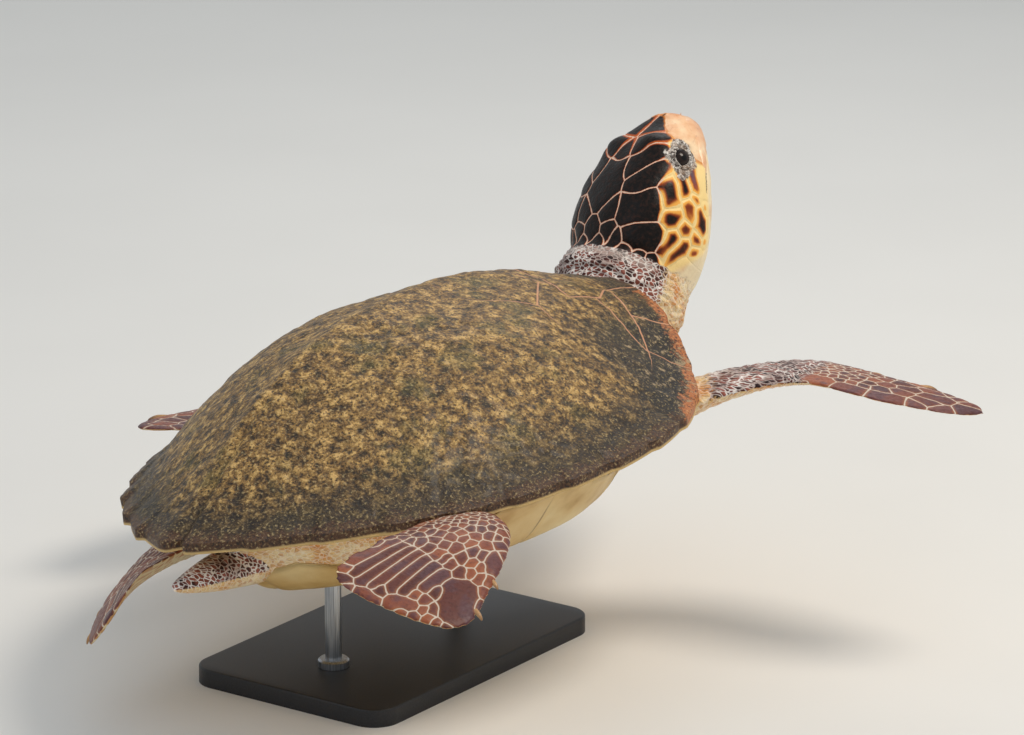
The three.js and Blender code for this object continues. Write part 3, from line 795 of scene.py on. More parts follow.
    def plastron(self) -> bpy.types.Object:
        """Models the plastron, a rounded plate under the belly with its paired shields.

        Returns:
            The finished plastron.
        """
        half = np.array(self.plastron_half) * self.length
        outline = np.concatenate([half, half[-2:0:-1] * [1, -1]])
        steps = np.r_[0, np.cumsum(np.hypot(*np.diff(np.r_[outline, outline[:1]], axis=0).T))]
        thick, edge = 9.0, 2.5
        reach = np.r_[np.linspace(0, 1, 40), np.ones(4), np.linspace(1, 0, 8)]
        depth = np.r_[np.zeros(40), np.linspace(0.1, 1, 4), np.ones(8)]
        rows = len(reach) - 1

        def place(u: np.ndarray, v: np.ndarray) -> np.ndarray:
            """Gives the underside from the middle out, the edge and the hidden upper side.

            Args:
                u: share of the way round the outline.
                v: share of the rows.

            Returns:
                Places in metres.
            """
            row = np.round(v * rows).astype(int)
            loop = np.r_[outline, outline[:1]]
            away = (u % 1) * steps[-1]
            rim = np.stack([np.interp(away, steps, loop[:, k]) for k in (0, 1)], 1)
            spot = rim * reach[row][:, None]
            *_, shell_rim, r = self.polar(spot)
            low = self.bottom(shell_rim, r) + thick * depth[row]
            soften = edge * (1 - np.sqrt(1 - np.clip((reach[row] - 0.95) / 0.05, 0, 1) ** 2))
            height = low + soften * (depth[row] < 0.05)
            return self.place.world(np.concatenate([spot, height[:, None]], 1))

        piece = rolled_grid("plastron_horn", 320, rows, place)
        body = self.place.body(points_of(piece))
        ahead = body[:, 0] - 18 * bump(body[:, 1], 90)  # the seams across bow forwards in the middle
        bands = np.sum([ahead < x * self.length for x in self.belly_seams], axis=0)
        lines = np.min([np.abs(ahead - x * self.length) for x in self.belly_seams], axis=0)
        seam = np.minimum(np.abs(body[:, 1] + 3 * np.sin(body[:, 0] / 40)), lines)
        normals = normals_of(piece) @ self.place.body_turn
        body = body + normals * (0.3 * ripple(body, 60, 31) - 1.3 * bump(seam, 2.6))[:, None]
        set_points(piece, self.place.world(body))
        set_field(piece, "seam", seam)
        set_field(piece, "tone", (bands % 2) * 0.6 + 0.2 * (body[:, 1] > 0))
        return piece


def signed_distance(spots: np.ndarray, outline: np.ndarray) -> np.ndarray:
    """Measures plan points' distances from an outline.

    Args:
        spots: plan points.
        outline: corners of a closed outline.

    Returns:
        Millimetres, negative inside.
    """
    ends = np.roll(outline, -1, axis=0)
    line = ends - outline
    offset = spots[:, None, :] - outline
    along = np.clip((offset * line).sum(-1) / (line**2).sum(-1), 0, 1)
    away = np.sqrt(((offset - along[..., None] * line) ** 2).sum(-1)).min(axis=1)
    y, y0, y1 = spots[:, None, 1], outline[:, 1], ends[:, 1]
    cross = (y0 > y) != (y1 > y)
    x = outline[:, 0] + (y - y0) / np.where(y1 == y0, 1e-9, y1 - y0) * line[:, 0]
    inside = (cross & (spots[:, None, 0] < x)).sum(1) % 2 == 1
    return np.where(inside, -away, away)


# ---------------------------------------------------------------- flesh
@dataclass
class Head:
    """The head, in shares of its length from the beak's tip; angles are degrees from the midline on top."""

    place: Placement
    length: float = 195.0
    half_width: Stops = (
        (0, 0.08), (0.03, 0.145), (0.08, 0.195), (0.16, 0.256), (0.27, 0.322), (0.4, 0.378), (0.55, 0.41),
        (0.7, 0.42), (0.85, 0.405), (1, 0.36),
    )
    above: Stops = (
        (0, 0.075), (0.03, 0.128), (0.08, 0.162), (0.16, 0.2), (0.27, 0.252), (0.4, 0.298), (0.55, 0.327),
        (0.7, 0.335), (0.85, 0.322), (1, 0.28),
    )
    below: Stops = (
        (0, -0.1), (0.03, -0.125), (0.08, -0.15), (0.16, -0.175), (0.27, -0.208), (0.4, -0.252),
        (0.55, -0.318), (0.7, -0.383), (0.85, -0.42), (1, -0.43),
    )
    squareness: Stops = ((0, 2), (0.2, 2.5), (0.5, 2.7), (1, 2.2))
    nape: float = 0.93
    eye_along: float = 0.355
    eye_up: float = 0.105
    eye_proud: float = 3.0
    eye_radius: float = 15.0
    socket_gap: float = 3.0  # how far the skin lies under the eyeball's surface
    gaze_ahead: float = 0.12
    gaze_up: float = 0.16
    brow_along: float = 0.27
    brow_rise: float = 24.0
    lid_opening: tuple[float, float] = (10.8, 8.4)  # half the opening along the head and up it
    lid_tilt: float = 12.0  # degrees
    lid_reach: float = 2.5  # how far the wrinkled skin reaches, in openings
    lid_skin: float = 2.75  # how far its granules do
    nostril: tuple[float, float] = (0.055, 13.0)
    smudge: tuple[float, float] = (0.245, 80.0)  # the dark skin ahead of the eye
    mouth: Stops = (
        (-0.05, -0.08), (0.02, -0.08), (0.06, -0.058), (0.18, -0.06), (0.36, -0.088), (0.5, -0.125),
    )
    upper_edge: Stops = (
        (0, 0.045), (0.03, 0.07), (0.06, 0.075), (0.14, 0.03), (0.3, -0.03), (0.36, -0.08),
    )
    lower_edge: Stops = (
        (0, -0.095), (0.03, -0.12), (0.06, -0.14), (0.12, -0.13), (0.19, -0.085),
    )
    # The scutes of one side, front to rear: where each middle line starts and ends, size and tone. Those
    # whose line lies on the midline are single.
    scutes: Sequence[tuple[float, float, float, float, float, float]] = (
        (0.115, 7, 0.18, 22, 3, 0.3),
        (0.32, 15, 0.25, 30, 4, 0.2),
        (0.365, 0, 0.405, 0, 2, 0.65),
        (0.485, 17, 0.39, 35, 4, 0.3),
        (0.59, 33, 0.485, 50, 6, 0.5),
        (0.53, 0, 0.68, 0, 15, 0.1),
        (0.775, 13, 0.79, 11, 7, 0.2),
        (0.77, 35, 0.705, 53, 12, 0.4),
        (0.9, 48, 0.885, 66, 10, 0.3),
        (0.875, 0, 0.885, 0, 6, 0.0),
        (0.885, 17, 0.89, 18, 4, 0.2),
        (0.925, 29, 0.93, 30, 2, 0.1),
        (0.96, 8, 0.96, 9, 0, 0.1),
        (0.975, 43, 0.975, 44, 1, 0.4),
        (0.985, 60, 0.985, 61, 0, 0.3),
        (0.985, 75, 0.985, 76, 0, 0.5),
        (0.545, 66, 0.655, 71, 3, 0.5),
        (0.475, 77, 0.53, 85, -1, 0.6),
        (0.41, 88, 0.48, 93, 0, 1.3),
        (0.4, 98, 0.5, 104, 1, 2.0),
        (0.725, 77, 0.73, 79, 4, 0.4),
        (0.605, 91, 0.645, 94, -1, 0.9),
        (0.615, 101, 0.685, 110, 1, 0.8),
        (0.91, 82, 0.835, 88, 2, 0.7),
        (0.915, 93, 0.835, 97, 1, 0.8),
        (0.755, 92, 0.757, 93, -1, 0.9),
        (0.76, 106, 0.762, 107, 0, 0.9),
        (0.72, 121, 0.722, 122, -1, 1.0),
        (0.545, 93, 0.55, 94, -2, 1.0),
        (0.52, 105, 0.55, 109, -1, 1.0),
        (0.83, 110, 0.835, 112, 0, 1.0),
        (0.62, 125, 0.63, 128, 0, 1.0),
        (0.8, 132, 0.81, 134, 2, 1.0),
        (0.7, 145, 0.72, 150, 4, 1.0),
        (0.5, 130, 0.52, 140, 4, 1.0),
        (0.95, 105, 0.95, 110, 3, 1.0),
        (0.95, 135, 0.95, 145, 5, 1.0),
        (0.3, 150, 0.35, 170, 6, 1.0),
    )

    def reaches(self, along: np.ndarray, up: np.ndarray) -> tuple[np.ndarray, np.ndarray, np.ndarray]:
        """Gives the head's cross-section.

        Args:
            along: shares from the beak.
            up: heights, of which only the sign counts.

        Returns:
            The half width, the reach up or down, and the power of the outline.
        """
        tall = np.where(up > 0, through(self.above, along), through(self.below, along))
        wide, power = through(self.half_width, along), 2 / through(self.squareness, along)
        return wide * self.length, tall * self.length, power

    def point(self, along: np.ndarray, angle: np.ndarray, grow: float = 0.0) -> np.ndarray:
        """Gives points of the head's side.

        Args:
            along: shares from the beak.
            angle: radians from the left side upwards.
            grow: millimetres further out.

        Returns:
            Head frame points.
        """
        c, s = np.cos(angle), np.sin(angle)
        wide, tall, power = self.reaches(along, s)
        brow = self.brow_rise * bump(along - self.brow_along, 0.085)
        brow = brow * bump(angle % math.pi - math.pi / 2, 0.9)
        side = np.sign(c) * np.abs(c) ** power * (wide + grow)
        up = np.abs(s) ** power * (tall + np.sign(s) * grow) + np.where(s > 0, brow * np.abs(c), 0)
        return np.stack([(1 - along) * self.length, side, up], -1)

    def spot(self, along: float, degrees: float, hand: Side) -> np.ndarray:
        """Gives the point at an angle in degrees from the midline on top, on one side."""
        angle = np.array(math.radians(90 - hand * degrees))
        return self.point(np.array(along), angle)

    def loft(self) -> bpy.types.Object:
        """Models the whole head as one closed body, with a rounded snout.

        Returns:
            The closed body.
        """
        nose, tip = 0.05, 0.012

        def place(u: np.ndarray, v: np.ndarray) -> np.ndarray:
            """Gives the snout's cap for low v, then the head back to the nape.

            Args:
                u: share of the way round.
                v: share of the way along.

            Returns:
                Places in metres.
            """
            along = np.where(v < nose, 0, (v - nose) / (1 - nose)) * 1.02
            shrink = np.where(v < nose, np.sqrt(np.clip(1 - (1 - v / nose) ** 2, 0, 1)), ease(1, 0.985, v))
            points = self.point(np.minimum(along, 1), 2 * math.pi * u)
            points[:, 0] += tip * self.length * ((1 - shrink) * (v < nose) - 1)
            points[:, 1:] *= shrink[:, None]
            return self.place.head_world(points)

        return rolled_grid("head_loft", 96, 110, place)

    def gaze(self, hand: Side) -> np.ndarray:
        """Gives the way an eye looks: outwards, a little ahead and up."""
        return unit(np.array([self.gaze_ahead, hand, self.gaze_up]))

    def eye_centre(self, hand: Side) -> np.ndarray:
        """Gives the middle of an eyeball in the head frame.

        Args:
            hand: which eye.

        Returns:
            A head frame point.
        """
        share = (self.eye_up / float(through(self.above, np.array(self.eye_along)))) ** 1.25
        face = self.point(np.array(self.eye_along), np.array(math.asin(share)))
        side = face[1] + self.eye_proud - self.eye_radius
        return np.array([face[0], hand * side, self.eye_up * self.length])

    def scales(self) -> Scales:
        """Gives the head's scutes, mirrored.

        Returns:
            The scutes of both sides.
        """
        starts, ends, sizes, tones = [], [], [], []
        for along, degrees, along_2, degrees_2, size, tone in self.scutes:
            for hand in Side if degrees > 0 else (Side.LEFT,):
                starts.append(self.spot(along, degrees, hand))
                ends.append(self.spot(along_2, degrees_2, hand))
                sizes.append(size)
                tones.append(tone)
        return Scales(np.array(starts), np.array(ends), np.array(sizes, float), np.array(tones))

    def coordinates(self, body: np.ndarray) -> tuple[np.ndarray, np.ndarray, np.ndarray]:
        """Finds points on the head.

        Args:
            body: body frame points.

        Returns:
            Head frame points, shares from the beak, and degrees from the midline on top.
        """
        head = self.place.to_head(body)
        along = 1 - head[:, 0] / self.length
        wide, tall, power = self.reaches(np.clip(along, 0, 1), head[:, 2])
        side = (np.abs(head[:, 1]) / wide) ** (1 / power)
        up = np.sign(head[:, 2]) * (np.abs(head[:, 2]) / np.abs(tall)) ** (1 / power)
        return head, along, np.degrees(np.arctan2(side, up))

    def lid_place(self, head: np.ndarray, hand: Side) -> tuple[np.ndarray, np.ndarray, np.ndarray]:
        """Finds points round an eye.

        Args:
            head: head frame points.
            hand: which eye.

        Returns:
            Points from the eye's centre, how many openings from its gaze they are, and their height.
        """
        offset = head - self.eye_centre(hand)
        gaze = self.gaze(hand)
        ahead = unit(np.array([1.0, 0.0, math.tan(math.radians(self.lid_tilt))]))
        ahead = unit(ahead - gaze * (ahead @ gaze))
        up = np.cross(gaze, ahead) * hand
        a, b = offset @ ahead / self.lid_opening[0], offset @ up / self.lid_opening[1]
        b = b / (1 - 0.28 * np.minimum(a**2, 1))
        openings = np.where(offset @ gaze > 0, np.hypot(a, b), 9.0)
        return offset, openings, b

    def with_lids(self, head: np.ndarray) -> tuple[np.ndarray, np.ndarray]:
        """Sculpts the eyelids and sockets.

        Args:
            head: head frame points.

        Returns:
            The moved points, and how much each is eyelid.
        """
        lids = np.zeros(len(head))
        for hand in Side:
            offset, openings, height = self.lid_place(head, hand)
            radius = np.linalg.norm(offset, axis=1)
            # The lids' margin stands off the eyeball, more so over the upper lid.
            margin = self.eye_radius + 1.7 + 1.9 * (height > 0) * bump(openings - 1.3, 0.35)
            folds = 0.6 * np.sin((openings - 1) * 2 * math.pi / 0.3 + 1.3 * ripple(head, 12, 21))
            folds = (folds + 0.35 * ripple(head, 5, 22)) * ease(1.02, 1.25, openings)
            folds = folds * ease(self.lid_reach, 1.8, openings)
            outside = margin + (radius - margin) * ease(1.15, self.lid_reach, openings) + folds
            inside = self.eye_radius - self.socket_gap
            target = inside + (outside - inside) * ease(0.93, 1.03, openings)
            near = openings < self.lid_reach
            target = np.where(near, target, radius)
            head = head + offset / radius[:, None] * (target - radius)[:, None]
            edge = openings + 0.16 * ripple(head, 9, 23) + 0.12 * ripple(head, 4, 24)
            lids = np.maximum(lids, ease(self.lid_skin, self.lid_skin - 0.45, edge))
        return head, lids

    def sheath(self, name: str, reach: float, low: Stops, high: Stops, rows: int) -> bpy.types.Object:
        """Models a horny sheath of the beak as a band round the snout.

        Args:
            name: piece's name.
            reach: how far back it goes, as a share of the head.
            low: its lower edge's height along the head.
            high: its upper edge's height.
            rows: faces over its height.

        Returns:
            The sheath, with its thickness.
        """
        front, proud, sunk, thick = 0.14, 0.5, 2.4, 3.0
        skin_side = 1.0 if high is self.upper_edge else 0.0

        def surface(u: np.ndarray, v: np.ndarray) -> np.ndarray:
            """Gives the snout's surface.

            Args:
                u: share of the way round, from one rear end to the other.
                v: share of the height.

            Returns:
                Head frame points.
            """
            h = np.abs(2 * u - 1)
            along = np.where(h < front, 0.0, (h - front) / (1 - front)) * reach
            up = (through(low, along) * (1 - v) + through(high, along) * v) * self.length
            wide, tall, power = self.reaches(along, up)
            share = np.clip(np.abs(up / tall), 0, 0.985) ** (1 / power)
            side = np.cos(np.arcsin(share)) ** power * wide
            swing = np.clip(h / front, 0, 1) * math.pi / 2
            side = side * np.sin(swing)
            ahead = (1 - along) * self.length - 0.5 * (1 - np.cos(swing))
            return np.stack([ahead, np.sign(2 * u - 1) * side, up], -1)

        def place(u: np.ndarray, v: np.ndarray) -> np.ndarray:
            """Gives that surface grown a little outwards, but sunk where it meets the skin.

            Args:
                u: share of the way round.
                v: share of the height.

            Returns:
                Places in metres.
            """
            step, spot = 0.004, surface(u, v)
            du = surface(u + step, v) - surface(u - step, v)
            dv = surface(u, v + step) - surface(u, v - step)
            out = unit(np.cross(dv, du))
            inwards = (out * (spot - [0.6 * self.length, 0, 0])).sum(-1, keepdims=True) < 0
            meets = np.maximum(ease(0.5, 1, 1 - np.abs(v - skin_side)), ease(0.8, 1, np.abs(2 * u - 1)))
            grown = proud - sunk * meets[:, None]
            return self.place.head_world(spot + grown * np.where(inwards, -out, out))

        piece = rolled_grid(name, 120, rows, place)
        select_only(piece)
        wall = piece.modifiers.new("wall", "SOLIDIFY")
        wall.thickness, wall.offset = thick * MM, -1
        bpy.ops.object.modifier_apply(modifier=wall.name)
        return piece

    def beaks(self) -> list[bpy.types.Object]:
        """Models the two sheaths of the beak, with the mouth's slit between them.

        Returns:
            The upper and the lower sheath.
        """
        over_slit = [(along, up + 0.002) for along, up in self.mouth]
        under_slit = [(along, up - 0.006) for along, up in self.mouth]
        upper = self.sheath("beak_upper_horn", 0.36, over_slit, self.upper_edge, 26)
        return [upper, self.sheath("beak_lower_horn", 0.19, self.lower_edge, under_slit, 20)]

    def eye(self, hand: Side) -> bpy.types.Object:
        """Models an eyeball whose cornea stands a little forward.

        Args:
            hand: which eye.

        Returns:
            The eyeball.
        """
        deselect_all()
        bpy.ops.mesh.primitive_uv_sphere_add(segments=64, ring_count=40, radius=1)
        piece = bpy.context.object
        piece.name = piece.data.name = f"eyeball_{hand.name.lower()}"
        ball = points_of(piece)
        off = np.degrees(np.arccos(np.clip(unit(ball) @ self.gaze(hand), -1, 1)))
        radius = self.eye_radius - 0.5 + 0.5 * bump(off, 24)
        head = self.eye_centre(hand) + unit(ball) * radius[:, None]
        set_points(piece, self.place.head_world(head))
        set_field(piece, "off_gaze", off)
        close_up(piece)
        return piece


@dataclass
class Neck:
    """The neck, from inside the shell to the head."""

    place: Placement
    head: Head
    middles: Stops = (
        (204, -40), (262, -40), (316, -30), (366, -12), (408, 16), (443, 46),
    )
    wide: Sequence[float] = (118, 122, 114, 96, 80, 72)
    tall: Sequence[float] = (40, 52, 66, 80, 82, 80)
    lean: Sequence[float] = (0, 4, 12, 24, 34, 42)
    fold: float = 3.5

    def loft(self) -> bpy.types.Object:
        """Models the neck as one closed body that ends inside the head.

        Returns:
            The closed body.
        """
        last = len(self.middles) - 1
        xs, zs = zip(*self.middles)

        def place(u: np.ndarray, v: np.ndarray) -> np.ndarray:
            """Gives the neck's rings, the last of which turns into one of the head's.

            Args:
                u: share of the way round.
                v: share of the way along.

            Returns:
                Places in metres.
            """
            angle = 2 * math.pi * u
            i = np.clip(v / 0.86, 0, 1) * last
            fold = self.fold * np.cos(2 * math.pi * i) * np.clip((i - 1) / 2, 0, 1)
            x, z, wide, tall, lean = (
                through(list(enumerate(values)), i) for values in (xs, zs, self.wide, self.tall, self.lean)
            )
            side, up = (wide + fold) * np.cos(angle), (tall + fold) * np.sin(angle)
            x, z = x - up * np.sin(np.radians(lean)), z + up * np.cos(np.radians(lean))
            ring = np.stack([x, side, z], -1)
            ends = self.place.from_head(self.head.point(np.full(len(u), self.head.nape), angle, -3.0))
            ring = ring + (ends - ring) * ease(0.86, 1.0, v)[:, None]
            hub = np.where(v[:, None] < 0.5, [self.middles[0][0], 0, self.middles[0][1]], self.place.head_at)
            shrink = ease(0, 0.008, v) * ease(1, 0.992, v)
            return self.place.world(hub + (ring - hub) * shrink[:, None])

        return rolled_grid("neck_loft", 90, 120, place)


@dataclass
class Tail:
    """The short tail."""

    place: Placement
    radius: Stops = ((0, 32), (0.5, 23), (0.85, 12), (1, 5))
    root: tuple[float, float] = (-260.0, -46.0)  # place ahead and up
    length: float = 128.0
    rise: float = 10.0
    flatness: float = 0.8  # height over width
    cap: float = 0.06  # share of the length that is the round tip

    def loft(self) -> bpy.types.Object:
        """Models the tail as one closed body with a blunt tip.

        Returns:
            The closed body.
        """

        def place(u: np.ndarray, v: np.ndarray) -> np.ndarray:
            """Gives the tail's rings, drawn in at both ends.

            Args:
                u: share of the way round.
                v: share of the way along.

            Returns:
                Places in metres.
            """
            angle = 2 * math.pi * u
            radius = through(self.radius, v) * ease(0, 0.01, v) * round_tip(v, self.cap)
            x, z = self.root
            up = z + self.rise * v + self.flatness * radius * np.sin(angle)
            return self.place.world(np.stack([x - self.length * v, radius * np.cos(angle), up], -1))

        return rolled_grid("tail_loft", 40, 60, place)


@dataclass
class Flipper:
    """A flipper along a path whose first numbers point outwards from the body's middle."""

    place: Placement
    name: str
    side: Side
    path: Sequence[tuple[float, float, float]]
    lead: Sequence[tuple[float, tuple[float, float, float]]]  # ways to the front edge along the path
    fore: Stops
    aft: Stops
    thick: Stops
    claws: tuple[float, float]
    claw_size: float
    scale_start: float  # share of the path where the large scales start
    edge_scale: tuple[float, float]  # spacing of the scales along the rear and the front edge
    inner_scale: tuple[float, float]  # spacing of the others at the root and at the tip
    stretch: float  # how much longer the outer scales are than wide
    # Scales that are set: where each middle line starts and ends, as shares along the path and of the way to
    # the front edge or, below 0, the rear one, and its size.
    marks: Sequence[tuple[float, float, float, float, float]] = ()
    tries: int = 5000  # how many random places are tried for the others

    def __post_init__(self) -> None:
        """Walks the path once, as a centripetal curve read by share of its length."""
        points = np.array(self.path, float) * [1, self.side, 1]
        points = np.concatenate([[2 * points[0] - points[1]], points, [2 * points[-1] - points[-2]]])
        walk = []
        for k in range(1, len(points) - 2):
            p0, p1, p2, p3 = points[k - 1 : k + 3]
            d0, d1, d2 = (np.linalg.norm(b - a) ** 0.5 for a, b in ((p0, p1), (p1, p2), (p2, p3)))
            a = ((p1 - p0) / d0 - (p2 - p0) / (d0 + d1) + (p2 - p1) / d1) * d1
            b = ((p2 - p1) / d1 - (p3 - p1) / (d1 + d2) + (p3 - p2) / d2) * d1
            t = np.linspace(0, 1, 200, endpoint=False)[:, None]
            walk.append(p1 + a * t + (3 * p2 - 3 * p1 - 2 * a - b) * t**2 + (2 * p1 - 2 * p2 + a + b) * t**3)
        walk = np.concatenate([*walk, points[-2:-1]])
        steps = np.r_[0, np.cumsum(np.linalg.norm(np.diff(walk, axis=0), axis=1))]
        self.length = float(steps[-1])
        self.t = np.linspace(0, 1, 401)
        self.places = np.stack([np.interp(self.t, steps / steps[-1], walk[:, k]) for k in range(3)], 1)
        self.tangents = unit(np.gradient(self.places, axis=0))
        leads = [through([(at, way[k]) for at, way in self.lead], self.t) for k in range(3)]
        front = np.stack(leads, 1) * [1, self.side, 1]
        self.fronts = unit(front - (front * self.tangents).sum(1, keepdims=True) * self.tangents)
        self.ups = -self.side * np.cross(self.tangents, self.fronts)

    def at(self, t: np.ndarray) -> list[np.ndarray]:
        """Gives the place, the way along, the way to the front edge and the upper side at shares t."""
        rows = (self.places, self.tangents, self.fronts, self.ups)
        return [np.stack([np.interp(t, self.t, row[:, k]) for k in range(3)], -1) for row in rows]

    def loft(self) -> bpy.types.Object:
        """Models the flipper as one closed body with a round tip.

        Returns:
            The closed body.
        """
        cap = 0.035

        def place(u: np.ndarray, v: np.ndarray) -> np.ndarray:
            """Gives the flipper's rings, thicker towards the front edge and drawn in at both ends.

            Args:
                u: share of the way round.
                v: share of the way along.

            Returns:
                Places in metres.
            """
            spot, _, front, up = self.at(v)
            shrink = ease(0, 0.005, v) * round_tip(v, cap)
            fore, aft = through(self.fore, v), through(self.aft, v)
            half, middle, depth = (fore + aft) / 2, (fore - aft) / 2, through(self.thick, v) / 2
            c = np.cos(2 * math.pi * u)
            rise = np.sin(2 * math.pi * u) * depth * (0.74 + 0.26 * c) * shrink
            across = middle + half * c * shrink
            return self.place.world(spot + front * across[:, None] + up * rise[:, None])

        return rolled_grid(f"flipper_{self.name}_loft", 56, 150, place)

    def coordinates(self, body: np.ndarray) -> tuple[np.ndarray, np.ndarray, np.ndarray, np.ndarray]:
        """Finds points on the flipper.

        Args:
            body: body frame points.

        Returns:
            Their share along the path, distance to the front of it, height over it, and how far they are
            outside the flipper's section.
        """
        t = np.zeros(len(body))
        for start in range(0, len(body), 20000):
            part = body[start : start + 20000]
            gaps = ((part[:, None, :] - self.places[::4]) ** 2).sum(-1)
            t[start : start + 20000] = self.t[::4][gaps.argmin(1)]
        for _ in range(2):
            spot, way, front, up = self.at(t)
            t = np.clip(t + ((body - spot) * way).sum(1) / self.length, 0, 1)
        spot, way, front, up = self.at(t)
        across, height = ((body - spot) * front).sum(1), ((body - spot) * up).sum(1)
        fore, aft = through(self.fore, t), through(self.aft, t)
        wide = np.abs(across - (fore - aft) / 2) / ((fore + aft) / 2)
        beyond = np.abs(((body - spot) * way).sum(1)) / 30
        outside = np.maximum.reduce([wide - 1, np.abs(height) / through(self.thick, t) - 0.7, beyond])
        return t, across, height, outside

    def across(self, t: float, share: float) -> float:
        """Gives the distance to the front of the path at a share of the way to an edge."""
        edge = self.fore if share > 0 else self.aft
        return share * float(through(edge, np.array(t)))

    def scales(self) -> Scales:
        """Lays scales out: the set ones, rows along both edges, then the rest, larger towards the tip.

        Returns:
            The scales, in millimetres along the path and to its front.
        """
        draw = np.random.default_rng(len(self.name) * 7 + int(self.stretch * 10))
        found = [
            (t * self.length, self.across(t, share), t_2 * self.length, self.across(t_2, share_2), size)
            for t, share, t_2, share_2, size in self.marks
        ]
        tones = list(draw.uniform(0, 1, len(found)))
        for spacing, hand in ((self.edge_scale[0], -1), (self.edge_scale[1], 1)):
            away = self.scale_start * self.length
            while away < self.length - 4:
                size = spacing * draw.uniform(0.8, 1.25)
                x = self.across(away / self.length, hand) - hand * 0.34 * size
                if not found or Scales.gap(np.array([[away, x]]), found) > 0.3 * size:
                    found.append((away, x, away, x, 0.18 * size))
                    tones.append(draw.uniform(0, 1))
                away += size
        for t, share, pick in draw.uniform((self.scale_start - 0.08, 0, 0), 1, (self.tries, 3)):
            x = self.across(t, 1) * share - self.across(t, -1) * (share - 1)
            grown = float(ease(self.scale_start - 0.02, self.scale_start + 0.3, np.array(t)))
            size = self.inner_scale[0] + (self.inner_scale[1] - self.inner_scale[0]) * grown
            size *= 0.85 + 0.35 * pick
            reach = size * (self.stretch - 1) * grown / 2
            ends = np.array([[t * self.length + k * reach, x] for k in (-1, 0, 1)])
            if Scales.gap(ends, found) > 0.68 * size:
                found.append((ends[0, 0], x, ends[2, 0], x, size / 4))
                tones.append(draw.uniform(0, 1))
        rows = np.array(found)
        return Scales(rows[:, :2], rows[:, 2:4], rows[:, 4], np.array(tones))

    def claw(self, index: int) -> bpy.types.Object:
        """Models a claw as a curved horn on the front edge.

        Args:
            index: number of the claw.

        Returns:
            The claw.
        """
        spot, way, front, up = (row[0] for row in self.at(np.array([self.claws[index]])))
        ahead = unit(0.8 * front + 0.6 * way)
        out, root, radius, hook = (self.claw_size * size for size in (15.0, 12.0, 5.2, 4.0))
        edge = spot + front * through(self.fore, np.array(self.claws[index]))
        sideways = unit(np.cross(ahead, up))

        def place(u: np.ndarray, v: np.ndarray) -> np.ndarray:
            """Gives the horn's rings from its hidden root to its tip, hooked downwards.

            Args:
                u: share of the way round.
                v: share of the way along.

            Returns:
                Places in metres.
            """
            along = -root + (out + root) * v
            wide = radius * np.sqrt(np.clip(1 - v**2.2, 0, 1)) * ease(0, 0.02, v)
            bend = -hook * np.clip(along / out, 0, 1) ** 2
            angle = 2 * math.pi * u
            spots = edge + ahead * along[:, None] + up * (bend + 0.8 * wide * np.sin(angle))[:, None]
            return self.place.world(spots + sideways * (wide * np.cos(angle))[:, None])

        piece = rolled_grid(f"claw_horn_{self.name}_{index + 1}", 24, 30, place)
        body = self.place.body(points_of(piece))
        set_field(piece, "along", (body - edge) @ ahead)
        return piece


@dataclass
class SkinSpots:
    """Where each vertex of the skin lies, and what it is part of."""

    head: np.ndarray  # head frame points
    along: np.ndarray  # share of the head's length, from the beak
    degrees: np.ndarray  # from the midline on top
    is_head: np.ndarray  # whether it belongs to the head and not to a flipper
    round_neck: np.ndarray  # whether it is by the neck
    on_head: np.ndarray  # 0 to 1
    fields: CellFields
    spread: np.ndarray  # millimetres for the pattern of the loose skin, drawn out and turned
    on_flipper: np.ndarray  # share of the way to a flipper's large scales
    scaled: np.ndarray  # 0 to 1, where these are
    creased: np.ndarray  # -1 to 1 over the creases of a flipper's root


